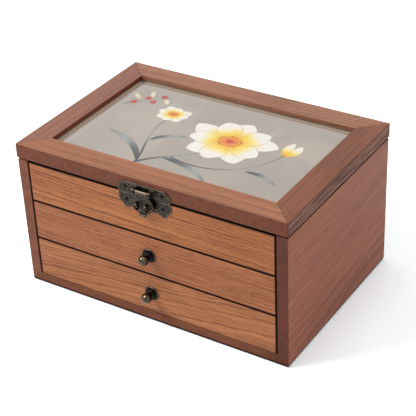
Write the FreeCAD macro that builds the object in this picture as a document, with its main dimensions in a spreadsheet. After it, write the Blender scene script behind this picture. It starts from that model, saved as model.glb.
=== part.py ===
# Wooden keepsake box: a case with a fixed top front over two drawers, and a glazed, hinged lid.
# Millimetres. X to the right, Y to the back, Z up. The origin is the middle of the felt underside.
import FreeCAD, Part
import os
import re

import Sketcher

# Driving dimensions
SIZES = {
    # case
    "case_width": 260.0,
    "case_depth": 177.0,
    "case_height": 123.6,  # to the rim
    "side_thickness": 10.4,
    "bottom_thickness": 9.6,
    "back_thickness": 8.0,
    "front_thickness": 10.0,
    "front_gap": 1.2,  # dark line between two fronts
    "front_side_gap": 0.9,
    "front_top_drop": 0.8,  # fixed front below the rim
    "front_foot_gap": 0.15,  # lowest front above the bottom board
    "groove_depth": 3.0,
    "shelf_thickness": 4.0,
    "tray_floor_thickness": 4.0,
    "tray_floor_lift": 1.6,  # tray floor above the foot of the fixed front
    "case_round": 1.5,
    "arris": 0.45,
    "felt_thickness": 0.6,
    "felt_inset": 1.0,
    # lid
    "lid_gap": 0.8,
    "lid_overhang": 0.6,
    "lid_thickness": 13.9,
    "rail_width": 22.0,
    "lid_foot_round": 2.0,
    "lid_corner_round": 1.0,
    "lid_top_round": 0.7,
    "glass_recess": 4.0,
    "glass_thickness": 3.0,
    "glass_play": 0.4,
    "rabbet_width": 6.0,
    "silk_thickness": 0.4,
    "bead_height": 4.0,
    "bead_round": 1.5,
    "brad_radius": 0.5,
    "brad_length": 9.0,
    "brad_inset": 48.0,  # brads from the corners of the window
    # velvet tray
    "liner_thickness": 2.0,
    "liner_round": 0.7,
    "pad_thickness": 1.5,
    "divider_thickness": 4.0,
    "divider_drop": 1.0,  # divider tops below the rim
    "divider_round": 1.2,
    "row_place": 20.0,  # the row divider stands this far behind the middle
    "column_place": 40.5,
    "ring_pad_play": 0.3,
    "ring_base_height": 13.0,
    "ring_overlap": 0.35,
    # drawers
    "drawer_side_thickness": 6.0,
    "drawer_back_thickness": 6.0,
    "drawer_box_height": 30.0,
    "drawer_bottom_lift": 2.0,
    "drawer_bottom_thickness": 3.0,
    "drawer_groove_depth": 3.0,
    "drawer_back_gap": 1.0,
    "drawer_lining_thickness": 1.2,
    # knobs
    "knob_flange_radius": 6.7,
    "knob_flange_thickness": 1.1,
    "knob_flange_chamfer": 0.5,
    "knob_dish_radius": 3.6,
    "knob_neck_radius": 2.4,
    "knob_neck_start": 3.0,
    "knob_neck_end": 4.8,
    "knob_ball_radius": 4.6,
    "knob_ball_place": 8.5,
    "knob_shoulder_radius": 3.3,
    "knob_shoulder_place": 5.4,
    "knob_shoulder_bow": 4.4,
    "knob_bore_depth": 7.0,
    "knob_screw_radius": 1.5,
    "knob_screw_play": 0.02,
    "knob_hole_radius": 1.75,
    "knob_screw_reach": 6.0,
    "knob_head_radius": 3.2,
    "knob_head_height": 1.8,
    "knob_slot_width": 0.9,
    "knob_slot_depth": 0.8,
    # hasp
    "plate_thickness": 0.9,
    "plate_chamfer": 0.3,
    "plate_half_width": 25.3,
    "upper_plate_height": 9.6,
    "upper_plate_cut": 4.6,
    "lower_plate_rise": 0.7,  # lower plate above the top of the fixed front
    "lower_plate_height": 14.5,
    "lobe_shoulder": 6.8,
    "lobe_outer": 22.0,
    "lobe_rise": 3.4,
    "lobe_side": 19.3,
    "lobe_inner": 16.8,
    "lobe_notch": 12.6,
    "lobe_notch_rise": 2.2,
    "tack_place": 17.6,
    "upper_tack_rise": 4.8,
    "lower_tack_rise": 7.9,
    "tack_head_radius": 1.1,
    "tack_head_height": 0.5,
    "tack_radius": 0.6,
    "tack_length": 6.0,
    "knuckle_radius": 1.9,
    "knuckle_half_length": 6.0,
    "knuckle_play": 0.2,
    "ear_length": 3.0,
    "ear_radius": 2.8,
    "hasp_pin_radius": 0.8,
    "hasp_pin_play": 0.05,
    "hasp_pin_head_radius": 1.2,
    "hasp_pin_head_height": 0.4,
    "hasp_pin_set_off": 3.5,  # pin axis in front of the lid
    "hasp_pin_rise": 4.6,  # pin axis above the lid's underside
    "tongue_thickness": 1.0,
    "tongue_round": 0.25,
    "tongue_shoulder": 3.2,
    "tongue_widest": 10.4,
    "tongue_widest_drop": 10.2,
    "tongue_chin": 8.4,
    "tongue_chin_drop": 16.4,
    "tongue_tip": 2.7,
    "tongue_drop": 20.6,
    "tongue_shoulder_bow": 9.5,
    "tongue_cheek_bow": 8.0,
    "lip_radius": 1.3,
    "lug_place": 4.6,
    "lug_thickness": 2.4,
    "lug_half_height": 3.2,
    "lug_drop": 12.5,  # lug axis below the pin axis
    "lug_reach": 8.0,
    "lug_eye_radius": 1.3,
    "lug_eye_inset": 2.4,
    "slot_half_width": 1.65,
    "slot_rise": 4.1,
    "slot_fall": 4.5,
    # lid hinges
    "hinge_inset": 50.0,  # middle of a hinge from the side of the case
    "hinge_width": 24.0,
    "hinge_knuckle_length": 8.0,
    "hinge_play": 0.2,
    "hinge_set_off": 2.2,  # pin axis behind the lid
    "hinge_barrel_radius": 2.0,
    "hinge_pin_radius": 0.8,
    "hinge_pin_play": 0.05,
    "leaf_thickness": 1.2,
    "leaf_gap": 0.1,
    "leaf_depth": 6.0,
    "heel_reach": 3.6,
    "heel_height": 5.0,
    "heel_angle": 47.8,
    "hinge_screw_place": 8.0,
    "hinge_screw_inset": 3.4,
    "hinge_screw_radius": 0.8,
    "hinge_screw_head": 1.7,
    "hinge_screw_head_height": 0.6,
    "hinge_screw_length": 7.0,
}

# Places worked out from the sizes
PLACES = {
    "half_width": "case_width / 2",
    "inner_half": "half_width - side_thickness",
    "front_y": "-case_depth / 2",
    "back_y": "case_depth / 2",
    "front_inner": "front_y + front_thickness",
    "back_inner": "back_y - back_thickness",
    "floor_top": "felt_thickness + bottom_thickness",
    "rim": "case_height",
    "front_pitch": "(rim - floor_top) / 3",
    "drawer_split": "floor_top + front_pitch",
    "tray_split": "floor_top + 2 * front_pitch",
    "shelf_low": "drawer_split - shelf_thickness / 2",
    "shelf_high": "drawer_split + shelf_thickness / 2",
    "fixed_low": "tray_split + front_gap / 2",
    "fixed_high": "rim - front_top_drop",
    "front_half": "inner_half - front_side_gap",
    "tray_low": "fixed_low + tray_floor_lift",
    "tray_high": "tray_low + tray_floor_thickness",
    "pad_top": "tray_high + pad_thickness",
    "panel_half": "inner_half + groove_depth",
    "panel_back": "back_inner + groove_depth",
    "tray_front": "front_inner - groove_depth",
    "lined_half": "inner_half - liner_thickness",
    "lined_front": "front_inner + liner_thickness",
    "lined_back": "back_inner - liner_thickness",
    "divider_top": "rim - divider_drop",
    "divider_middle": "(pad_top + divider_top) / 2",
    "row_front": "row_place - divider_thickness / 2",
    "row_back": "row_place + divider_thickness / 2",
    "column_inner": "column_place - divider_thickness / 2",
    "column_outer": "column_place + divider_thickness / 2",
    "ring_front": "row_back + ring_pad_play",
    "ring_back": "lined_back - ring_pad_play",
    "ring_pitch": "(ring_back - ring_front) / 4",
    "lid_low": "rim + lid_gap",
    "lid_high": "lid_low + lid_thickness",
    "lid_half": "half_width + lid_overhang",
    "lid_front": "front_y - lid_overhang",
    "lid_back": "back_y + lid_overhang",
    "window_half": "lid_half - rail_width",
    "window_front": "lid_front + rail_width",
    "window_back": "lid_back - rail_width",
    "rabbet_half": "window_half + rabbet_width",
    "rabbet_front": "window_front - rabbet_width",
    "rabbet_back": "window_back + rabbet_width",
    "glass_high": "lid_high - glass_recess",
    "glass_low": "glass_high - glass_thickness",
    "silk_low": "glass_low - silk_thickness",
    "bead_low": "silk_low - bead_height",
    "brad_z": "silk_low - bead_height / 2",
    "drawer_half_inner": "front_half - drawer_side_thickness",
    "drawer_back": "back_inner - drawer_back_gap",
    "drawer_back_inner": "drawer_back - drawer_back_thickness",
    "hasp_pin_y": "lid_front - hasp_pin_set_off",
    "hasp_pin_z": "lid_low + hasp_pin_rise",
    "upper_plate_high": "lid_low + upper_plate_height",
    "upper_tack_z": "lid_low + upper_tack_rise",
    "lower_plate_high": "fixed_high + lower_plate_rise",
    "lower_plate_low": "lower_plate_high - lower_plate_height",
    "lower_tack_z": "lower_plate_low + lower_tack_rise",
    "lug_z": "hasp_pin_z - lug_drop",
    "lug_tip": "front_y - plate_thickness - lug_reach",
    "hinge_y": "lid_back + hinge_set_off",
    "hinge_z": "rim + lid_gap / 2",
    "hinge_place": "half_width - hinge_inset",
    "leaf_front": "back_y - leaf_depth",
    "leaf_low": "hinge_z - leaf_gap / 2 - leaf_thickness",
    "leaf_high": "hinge_z + leaf_gap / 2 + leaf_thickness",
    "hinge_screw_y": "leaf_front + hinge_screw_inset",
}

TOUCH = 1e-4  # how near counts as the same place when edges are chosen

doc = FreeCAD.newDocument("keepsake_box")
sheet = doc.addObject("Spreadsheet::Sheet", "Sizes")
for row, (name, size) in enumerate(SIZES.items(), start=1):
    sheet.set(f"A{row}", str(size))
    sheet.setAlias(f"A{row}", name)
doc.recompute()

pieces = {}  # node name to the finished object and how many solids it holds


# Expressions
def spelled(text, owner="Sizes."):
    """The expression with each place written out and each size read from the sheet."""

    def word(found):
        name = found.group()
        if name in PLACES:
            return "(" + spelled(PLACES[name], owner) + ")"
        return owner + name if name in SIZES else name

    return re.sub(r"[a-z_][a-z_0-9]*", word, text)


def worth(text):
    return float(sheet.evalExpression(spelled(text, "")))


def bind(thing, prop, text):
    thing.setExpression(prop, spelled(text))


def keep(label, thing, solids=1):
    thing.Label = label
    pieces[label] = (thing, solids)
    return thing


# Plain blocks and cylinders
def block(label, x, y, z):
    """A box between two expressions on each axis."""
    made = doc.addObject("Part::Box", label)
    for side, place, (low, high) in zip(("Length", "Width", "Height"), "xyz", (x, y, z)):
        bind(made, side, f"({high}) - ({low})")
        bind(made, "Placement.Base." + place, low)
    return made


TURNS = {
    "x": FreeCAD.Rotation(FreeCAD.Vector(0, 1, 0), 90),
    "y": FreeCAD.Rotation(FreeCAD.Vector(1, 0, 0), -90),
    "z": FreeCAD.Rotation(),
}


def rod(label, axis, start, radius, length):
    """A cylinder from start along an axis; a cone where radius is a pair."""
    if isinstance(radius, tuple):
        made = doc.addObject("Part::Cone", label)
        bind(made, "Radius1", radius[0])
        bind(made, "Radius2", radius[1])
    else:
        made = doc.addObject("Part::Cylinder", label)
        bind(made, "Radius", radius)
    made.Placement = FreeCAD.Placement(FreeCAD.Vector(), TURNS[axis])
    bind(made, "Height", length)
    for place, text in zip("xyz", start):
        bind(made, "Placement.Base." + place, text)
    return made


def joined(label, shapes):
    made = doc.addObject("Part::MultiFuse", label)
    made.Shapes = shapes
    return made


def grouped(label, shapes):
    """Separate solids in one node."""
    made = doc.addObject("Part::Compound", label)
    made.Links = shapes
    return made


def cut(label, base, tool):
    made = doc.addObject("Part::Cut", label)
    made.Base = base
    made.Tool = tool
    return made


def within(label, board, blank):
    """What a squared board keeps of the rounded blank it is part of."""
    made = doc.addObject("Part::MultiCommon", label)
    made.Shapes = [board, blank]
    return made


# Sketched bodies
def body(label):
    return doc.addObject("PartDesign::Body", label)


PLANES = {"z": "XY_Plane", "y": "XZ_Plane", "x": "YZ_Plane"}


def sketch_on(owner, axis, start):
    """A sketch square to an axis, at a place along it. Its own axes are the other two, in X, Y, Z order."""
    sketch = owner.newObject("Sketcher::SketchObject", "Sketch")
    plane = next(p for p in owner.Origin.OriginFeatures if p.Role == PLANES[axis])
    sketch.AttachmentSupport = (plane, [""])
    sketch.MapMode = "FlatFace"
    sign = "-" if axis == "y" else ""
    bind(sketch, "AttachmentOffset.Base.z", f"{sign}({start})")
    return sketch


def fix_point(sketch, edge, end, x, y):
    for kind, text in (("DistanceX", x), ("DistanceY", y)):
        row = sketch.addConstraint(Sketcher.Constraint(kind, -1, 1, edge, end, worth(text)))
        bind(sketch, f"Constraints[{row}]", text)


def outline(sketch, corners):
    """A closed outline. A third entry makes the edge to that corner an arc of that radius, which bows
    outwards where the corners run anticlockwise."""
    spots = [FreeCAD.Vector(worth(c[0]), worth(c[1]), 0) for c in corners]
    edges = []
    for here, corner in enumerate(corners):
        start, finish = spots[here - 1], spots[here]
        if len(corner) == 2:
            edges.append(sketch.addGeometry(Part.LineSegment(start, finish)))
            continue
        chord = finish - start
        radius = worth(corner[2])
        left = FreeCAD.Vector(-chord.y, chord.x, 0).normalize()
        rise = (radius**2 - (chord.Length / 2) ** 2) ** 0.5
        circle = Part.Circle(start + chord / 2 + left * rise, FreeCAD.Vector(0, 0, 1), radius)
        arc = Part.ArcOfCircle(circle, circle.parameter(start), circle.parameter(finish))
        edges.append(sketch.addGeometry(arc))
    for here, edge in enumerate(edges):
        sketch.addConstraint(Sketcher.Constraint("Coincident", edges[here - 1], 2, edge, 1))
        fix_point(sketch, edge, 1, *corners[here - 1][:2])
    for edge, corner in zip(edges, corners):
        if len(corner) == 3:
            row = sketch.addConstraint(Sketcher.Constraint("Radius", edge, worth(corner[2])))
            bind(sketch, f"Constraints[{row}]", corner[2])


def hole(sketch, x, y, radius):
    circle = Part.Circle(FreeCAD.Vector(worth(x), worth(y), 0), FreeCAD.Vector(0, 0, 1), worth(radius))
    edge = sketch.addGeometry(circle)
    fix_point(sketch, edge, 3, x, y)
    row = sketch.addConstraint(Sketcher.Constraint("Radius", edge, worth(radius)))
    bind(sketch, f"Constraints[{row}]", radius)


def rectangle(x, y):
    return [(x[0], y[0]), (x[1], y[0]), (x[1], y[1]), (x[0], y[1])]


def extruded(owner, kind, axis, span, corners=(), holes=()):
    """A Pad or a Pocket between two places on an axis, from an outline, from round holes, or both."""
    sketch = sketch_on(owner, axis, span[0])
    if corners:
        outline(sketch, corners)
    for each in holes:
        hole(sketch, *each)
    made = owner.newObject("PartDesign::" + kind, kind)
    made.Profile = sketch
    bind(made, "Length", f"({span[1]}) - ({span[0]})")
    made.Reversed = (kind == "Pad") == (axis == "y")
    doc.recompute()
    return made


def pad(owner, axis, span, corners=(), holes=()):
    return extruded(owner, "Pad", axis, span, corners, holes)


def pocket(owner, axis, span, corners=(), holes=()):
    volume = owner.Shape.Volume
    made = extruded(owner, "Pocket", axis, span, corners, holes)
    if not owner.Shape.Volume < volume - TOUCH:
        raise RuntimeError(f"a pocket in {owner.Label} cuts nothing")
    return made


def lies_at(edge, **places):
    """Whether the whole edge lies at the given places, or between the two places of a pair."""
    box = edge.BoundBox
    for axis, place in places.items():
        low, high = place if isinstance(place, tuple) else (place, place)
        if getattr(box, axis.upper() + "Min") < worth(low) - TOUCH:
            return False
        if getattr(box, axis.upper() + "Max") > worth(high) + TOUCH:
            return False
    return True


def eased(owner, radius, *places, kind="Fillet"):
    """Rounds or chamfers the edges of the last feature that lie at any of the given places."""
    last = owner.Tip
    chosen = [
        f"Edge{number}"
        for number, edge in enumerate(last.Shape.Edges, start=1)
        if any(lies_at(edge, **place) for place in places)
    ]
    if not chosen:
        raise RuntimeError(f"no edge to ease in {owner.Label}")
    made = owner.newObject("PartDesign::" + kind, kind)
    made.Base = (last, chosen)
    bind(made, "Radius" if kind == "Fillet" else "Size", radius)
    doc.recompute()
    return made


# Case
def case_blank():
    """The whole case as one rounded block, which gives the outer boards their soft edges."""
    made = body("case_blank")
    outer = rectangle(("-half_width", "half_width"), ("front_y", "back_y"))
    pad(made, "z", ("felt_thickness", "rim"), outer)
    low = [{"z": "felt_thickness", "x": side} for side in ("-half_width", "half_width")]
    eased(made, "case_round", *low)
    upright = [{"x": x, "y": y} for x in ("-half_width", "half_width") for y in ("front_y", "back_y")]
    around = [{"z": "rim", "x": "-half_width"}, {"z": "rim", "x": "half_width"}]
    around += [{"z": "rim", "y": "front_y"}, {"z": "rim", "y": "back_y"}]
    eased(made, "arris", *upright, *around)
    return made


def side_board(label, sign, blank):
    """Mitred to the bottom board, with stopped grooves for the tray floor and the drawer shelf."""
    made = body(label + "_board")
    outer, inner = f"{sign} * half_width", f"{sign} * inner_half"
    corners = [(outer, "felt_thickness"), (outer, "rim"), (inner, "rim"), (inner, "floor_top")]
    pad(made, "y", ("front_y", "back_y"), corners)
    across = sorted((inner, f"{sign} * panel_half"), key=worth)
    pocket(made, "y", ("tray_front", "panel_back"), rectangle(across, ("tray_low", "tray_high")))
    pocket(made, "y", ("front_inner", "panel_back"), rectangle(across, ("shelf_low", "shelf_high")))
    return keep(label, within(label, made, blank))


def bottom_panel(blank):
    made = body("bottom_board")
    corners = [
        ("-half_width", "felt_thickness"),
        ("half_width", "felt_thickness"),
        ("inner_half", "floor_top"),
        ("-inner_half", "floor_top"),
    ]
    pad(made, "y", ("front_y", "back_y"), corners)
    return keep("bottom_panel", within("bottom_panel", made, blank))


def hinge_screw_spots(sign):
    middle = f"{sign} * hinge_place"
    return [f"{middle} - hinge_screw_place", f"{middle} + hinge_screw_place"]


def back_panel(blank):
    """Stands on the bottom board between the sides, grooved for the tray floor and the shelf."""
    made = body("back_board")
    pad(made, "z", ("floor_top", "rim"), rectangle(("-inner_half", "inner_half"), ("back_inner", "back_y")))
    for low, high in (("tray_low", "tray_high"), ("shelf_low", "shelf_high")):
        groove = rectangle(("-inner_half", "inner_half"), (low, high))
        pocket(made, "y", ("back_inner", "panel_back"), groove)
    for sign in (-1, 1):
        wide = (f"{sign} * hinge_place - hinge_width / 2", f"{sign} * hinge_place + hinge_width / 2")
        pocket(made, "z", ("leaf_low", "rim"), rectangle(wide, ("leaf_front", "back_y")))
        holes = [(x, "hinge_screw_y", "hinge_screw_radius") for x in hinge_screw_spots(sign)]
        pocket(made, "z", ("leaf_low - hinge_screw_length", "leaf_low"), holes=holes)
    return keep("back_panel", within("back_panel", made, blank))


def tack_holes(z):
    return [(f"{sign} * tack_place", z, "tack_radius") for sign in (-1, 1)]


def face_edges(x, z):
    """The four front edges of a board at the front."""
    return [{"y": "front_y", "x": each} for each in x] + [{"y": "front_y", "z": each} for each in z]


def top_front_panel():
    """The fixed front, held by the tray floor's edge in its groove."""
    made = body("top_front_panel")
    wide = ("-front_half", "front_half")
    pad(made, "y", ("front_y", "front_inner"), rectangle(wide, ("fixed_low", "fixed_high")))
    eased(made, "arris", *face_edges(wide, ("fixed_low", "fixed_high")))
    pocket(made, "y", ("tray_front", "front_inner"), rectangle(wide, ("tray_low", "tray_high")))
    pocket(made, "y", ("front_y", "front_y + tack_length"), holes=tack_holes("lower_tack_z"))
    return keep("top_front_panel", made)


def case():
    blank = case_blank()
    side_board("left_side", -1, blank)
    side_board("right_side", 1, blank)
    bottom_panel(blank)
    back_panel(blank)
    top_front_panel()
    x = ("-panel_half", "panel_half")
    keep("tray_floor", block("tray_floor", x, ("tray_front", "panel_back"), ("tray_low", "tray_high")))
    shelf = block("drawer_shelf", x, ("front_inner", "panel_back"), ("shelf_low", "shelf_high"))
    keep("drawer_shelf", shelf)
    x = ("-half_width + felt_inset", "half_width - felt_inset")
    y = ("front_y + felt_inset", "back_y - felt_inset")
    keep("base_felt", block("base_felt", x, y, ("0", "felt_thickness")))


# Velvet tray
def liner(label, x, y):
    """A velvet strip on a wall. It stands a little above the rim, and the shut lid rests on it."""
    made = body(label)
    pad(made, "z", ("tray_high", "lid_low"), rectangle(x, y))
    along = [{"z": "lid_low", "y": each} for each in y] + [{"z": "lid_low", "x": each} for each in x]
    eased(made, "liner_round", *along)
    return keep(label, made)


def row_divider():
    """Runs the whole width; two slots from above take the column dividers."""
    made = body("tray_row_divider")
    across = ("row_front", "row_back")
    pad(made, "z", ("pad_top", "divider_top"), rectangle(("-lined_half", "lined_half"), across))
    eased(made, "divider_round", *({"z": "divider_top", "y": each} for each in across))
    for low, high in (("-column_outer", "-column_inner"), ("column_inner", "column_outer")):
        pocket(made, "z", ("divider_middle", "divider_top"), rectangle((low, high), across))
    return keep("tray_row_divider", made)


def column_divider(label, low, high):
    """Runs from front to back over the row divider, slotted from below."""
    made = body(label)
    pad(made, "z", ("pad_top", "divider_top"), rectangle((low, high), ("lined_front", "lined_back")))
    eased(made, "divider_round", *({"z": "divider_top", "x": each} for each in (low, high)))
    pocket(made, "z", ("pad_top", "divider_middle"), rectangle((low, high), ("row_front", "row_back")))
    return keep(label, made)


def ring_pad(label, low, high):
    """Four soft rolls side by side on one foam block; rings stand in the creases."""
    made = body(label)
    across = ("ring_front", "ring_back")
    pad(made, "z", ("pad_top", "pad_top + ring_base_height"), rectangle((low, high), across))
    roll_z = "pad_top + ring_base_height - ring_overlap"
    sketch = sketch_on(made, "x", low)
    hole(sketch, "ring_front + ring_pitch / 2", roll_z, "ring_pitch / 2")
    roll = made.newObject("PartDesign::Pad", "Roll")
    roll.Profile = sketch
    bind(roll, "Length", f"({high}) - ({low})")
    doc.recompute()
    row = made.newObject("PartDesign::LinearPattern", "Rolls")
    row.Originals = [roll]
    row.Direction = (sketch, ["H_Axis"])
    bind(row, "Length", "3 * ring_pitch")
    row.Occurrences = 4
    made.Tip = row
    doc.recompute()
    return keep(label, made)


def tray():
    lined = ("-lined_half", "lined_half")
    deep = ("front_inner", "back_inner")
    liner("tray_liner_left", ("-inner_half", "-lined_half"), deep)
    liner("tray_liner_right", ("lined_half", "inner_half"), deep)
    liner("tray_liner_front", lined, ("front_inner", "lined_front"))
    liner("tray_liner_back", lined, ("lined_back", "back_inner"))
    floor = block("tray_floor_pad", lined, ("lined_front", "lined_back"), ("tray_high", "pad_top"))
    keep("tray_floor_pad", floor)
    row_divider()
    column_divider("tray_column_divider_left", "-column_outer", "-column_inner")
    column_divider("tray_column_divider_right", "column_inner", "column_outer")
    ring_pad("ring_pad_left", "-lined_half + ring_pad_play", "-column_outer - ring_pad_play")
    ring_pad("ring_pad_right", "column_outer + ring_pad_play", "lined_half - ring_pad_play")


# Drawers
def drawer_front(name, low, high, floor):
    made = body(name + "_front")
    wide = ("-front_half", "front_half")
    pad(made, "y", ("front_y", "front_inner"), rectangle(wide, (low, high)))
    eased(made, "arris", *face_edges(wide, (low, high)))
    groove_x = ("-drawer_half_inner - drawer_groove_depth", "drawer_half_inner + drawer_groove_depth")
    groove_z = (f"{floor} + drawer_bottom_lift", f"{floor} + drawer_bottom_lift + drawer_bottom_thickness")
    pocket(made, "y", ("front_inner - drawer_groove_depth", "front_inner"), rectangle(groove_x, groove_z))
    middle = f"(({low}) + ({high})) / 2"
    pocket(made, "y", ("front_y", "front_inner"), holes=[("0", middle, "knob_hole_radius")])
    return keep(name + "_front", made)


def drawer_wall(label, x, y, floor, groove_axis, groove):
    """A side or the back of a drawer, grooved for the bottom."""
    made = body(label)
    pad(made, "z", (floor, f"{floor} + drawer_box_height"), rectangle(x, y))
    low = f"{floor} + drawer_bottom_lift"
    other = y if groove_axis == "x" else x
    pocket(made, groove_axis, groove, rectangle(other, (low, low + " + drawer_bottom_thickness")))
    return keep(label, made)


def knob_profile():
    """Radius and minus the reach, from the flange's back face round to the bore."""
    return [
        ("knob_screw_radius + knob_screw_play", "-knob_bore_depth"),
        ("0", "-knob_bore_depth"),
        ("0", "-knob_ball_place - knob_ball_radius"),
        ("knob_ball_radius", "-knob_ball_place", "knob_ball_radius"),
        ("knob_shoulder_radius", "-knob_shoulder_place", "knob_shoulder_bow"),
        ("knob_neck_radius", "-knob_neck_end"),
        ("knob_neck_radius", "-knob_neck_start"),
        ("knob_dish_radius", "-knob_flange_thickness - knob_flange_chamfer"),
        ("knob_flange_radius - knob_flange_chamfer", "-knob_flange_thickness"),
        ("knob_flange_radius", "-knob_flange_thickness + knob_flange_chamfer"),
        ("knob_flange_radius", "0"),
        ("knob_screw_radius + knob_screw_play", "0"),
    ]


def knob(name, z):
    made = body(name + "_knob")
    sketch = sketch_on(made, "z", "0")
    outline(sketch, knob_profile())
    turned = made.newObject("PartDesign::Revolution", "Turned")
    turned.Profile = sketch
    turned.ReferenceAxis = (sketch, ["V_Axis"])
    bind(made, "Placement.Base.y", "front_y")
    bind(made, "Placement.Base.z", z)
    doc.recompute()
    return keep(name + "_knob", made)


def knob_screw(name, z):
    """Passes through the front into the knob, with a slotted head inside the drawer."""
    label = name + "_knob_screw"
    length = "front_thickness + knob_screw_reach"
    shank = rod(label + "_shank", "y", ("0", "front_y - knob_screw_reach", z), "knob_screw_radius", length)
    head = rod(label + "_head", "y", ("0", "front_inner", z), "knob_head_radius", "knob_head_height")
    slot_x = ("-knob_head_radius", "knob_head_radius")
    slot_y = ("front_inner + knob_head_height - knob_slot_depth", "front_inner + knob_head_height")
    slot_z = (f"({z}) - knob_slot_width / 2", f"({z}) + knob_slot_width / 2")
    whole = joined(label + "_whole", [shank, head])
    return keep(label, cut(label, whole, block(label + "_slot", slot_x, slot_y, slot_z)))


def drawer(name, low, high, floor):
    drawer_front(name, low, high, floor)
    deep = ("front_inner", "drawer_back")
    inner = "drawer_half_inner"
    grooved = f"{inner} + drawer_groove_depth"
    groove = (f"-({grooved})", f"-{inner}")
    drawer_wall(name + "_left_side", ("-front_half", f"-{inner}"), deep, floor, "x", groove)
    drawer_wall(name + "_right_side", (inner, "front_half"), deep, floor, "x", (inner, grooved))
    back = ("drawer_back_inner", "drawer_back_inner + drawer_groove_depth")
    wide = (f"-{inner}", inner)
    drawer_wall(name + "_back", wide, ("drawer_back_inner", "drawer_back"), floor, "y", back)
    bottom_low = f"{floor} + drawer_bottom_lift"
    bottom_high = bottom_low + " + drawer_bottom_thickness"
    x = (f"-({grooved})", grooved)
    y = ("front_inner - drawer_groove_depth", back[1])
    keep(name + "_bottom", block(name + "_bottom", x, y, (bottom_low, bottom_high)))
    lining_z = (bottom_high, bottom_high + " + drawer_lining_thickness")
    lining = block(name + "_lining", wide, ("front_inner", "drawer_back_inner"), lining_z)
    keep(name + "_lining", lining)
    middle = f"(({low}) + ({high})) / 2"
    knob(name, middle)
    knob_screw(name, middle)


# Lid
LID_OUTER = ("lid_half", "lid_front", "lid_back")
LID_WINDOW = ("window_half", "window_front", "window_back")
LID_RABBET = ("rabbet_half", "rabbet_front", "rabbet_back")


def framed(ring):
    """The rectangle of a half width, a front and a back."""
    half, front, back = ring
    return rectangle((f"-{half}", half), (front, back))


def mitred(side, outer, inner):
    """One mitred strip between two such rectangles."""
    turn = ("front", "right", "back", "left").index(side)
    outside, inside = framed(outer), framed(inner)
    after = (turn + 1) % 4
    return [outside[turn], outside[after], inside[after], inside[turn]]


def ring_edges(ring, **level):
    """Edges along a rectangle at a level."""
    half, front, back = ring
    spots = [{"x": f"-{half}"}, {"x": half}, {"y": front}, {"y": back}]
    return [{**spot, **level} for spot in spots]


def lid_blank():
    """The whole lid frame in one piece with its rounded edges; each rail is a mitred length of it."""
    made = body("lid_blank")
    pad(made, "z", ("lid_low", "lid_high"), framed(LID_OUTER))
    eased(made, "lid_foot_round", *ring_edges(LID_OUTER, z="lid_low"))
    eased(made, "lid_corner_round", *({"x": x, "y": y} for x, y in framed(LID_OUTER)))
    eased(made, "lid_top_round", *ring_edges(LID_OUTER, z="lid_high"))
    pocket(made, "z", ("lid_low", "lid_high"), framed(LID_WINDOW))
    return made


# Where the brads of each bead run: their axis, the window edge that they start at, and which way
BRADS = {
    "front": ("y", "window_front", "rabbet_front", -1),
    "back": ("y", "window_back", "rabbet_back", 1),
    "left": ("x", "-window_half", "-rabbet_half", -1),
    "right": ("x", "window_half", "rabbet_half", 1),
}


def brad_spots(axis):
    ends = ("-window_half", "window_half") if axis == "y" else ("window_front", "window_back")
    return [f"{ends[0]} + brad_inset", f"{ends[1]} - brad_inset"]


def brad_holes(owner, side, inner, outer):
    axis = BRADS[side][0]
    holes = [(spot, "brad_z", "brad_radius") for spot in brad_spots(axis)]
    pocket(owner, axis, sorted((inner, outer), key=worth), holes=holes)


def rail(side, blank):
    name = f"lid_{side}_rail"
    made = body(name + "_strip")
    pad(made, "z", ("lid_low", "lid_high"), mitred(side, LID_OUTER, LID_WINDOW))
    pocket(made, "z", ("lid_low", "glass_high"), framed(LID_RABBET))
    _, window, rabbet, way = BRADS[side]
    brad_holes(made, side, rabbet, f"{window} + {way} * brad_length")
    if side == "front":
        pocket(made, "y", ("lid_front", "lid_front + tack_length"), holes=tack_holes("upper_tack_z"))
    if side == "back":
        for sign in (-1, 1):
            wide = (f"{sign} * hinge_place - hinge_width / 2", f"{sign} * hinge_place + hinge_width / 2")
            pocket(made, "z", ("lid_low", "leaf_high"), rectangle(wide, ("leaf_front", "lid_back")))
            holes = [(x, "hinge_screw_y", "hinge_screw_radius") for x in hinge_screw_spots(sign)]
            pocket(made, "z", ("leaf_high", "leaf_high + hinge_screw_length"), holes=holes)
    return keep(name, within(name, made, blank))


def bead(side):
    """A mitred strip that holds the glass and the silk up in the rabbet."""
    name = f"lid_{side}_bead"
    made = body(name)
    pad(made, "z", ("bead_low", "silk_low"), mitred(side, LID_RABBET, LID_WINDOW))
    axis, window, rabbet, _ = BRADS[side]
    eased(made, "bead_round", {axis: window, "z": "bead_low"})
    brad_holes(made, side, window, rabbet)
    return keep(name, made)


def brads():
    made = []
    for side, (axis, window, _, way) in BRADS.items():
        start = f"{window} - brad_length" if way < 0 else window
        for spot in brad_spots(axis):
            place = (start, spot, "brad_z") if axis == "x" else (spot, start, "brad_z")
            made.append(rod(f"brad_{side}", axis, place, "brad_radius", "brad_length"))
    return keep("bead_brads", grouped("bead_brads", made), len(made))


def lid():
    blank = lid_blank()
    for side in BRADS:
        rail(side, blank)
    x = ("-rabbet_half + glass_play", "rabbet_half - glass_play")
    y = ("rabbet_front + glass_play", "rabbet_back - glass_play")
    keep("lid_glass", block("lid_glass", x, y, ("glass_low", "glass_high")))
    keep("silk_panel", block("silk_panel", x, y, ("silk_low", "glass_low")))
    for side in BRADS:
        bead(side)
    brads()


# Hasp
def tack_seats(owner, face, z):
    """Sunk seats and holes for the two tacks of a plate whose back lies at a face."""
    front = f"{face} - plate_thickness"
    seats = [(f"{sign} * tack_place", z, "tack_head_radius") for sign in (-1, 1)]
    pocket(owner, "y", (front, front + " + tack_head_height"), holes=seats)
    pocket(owner, "y", (front, face), holes=tack_holes(z))


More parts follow.
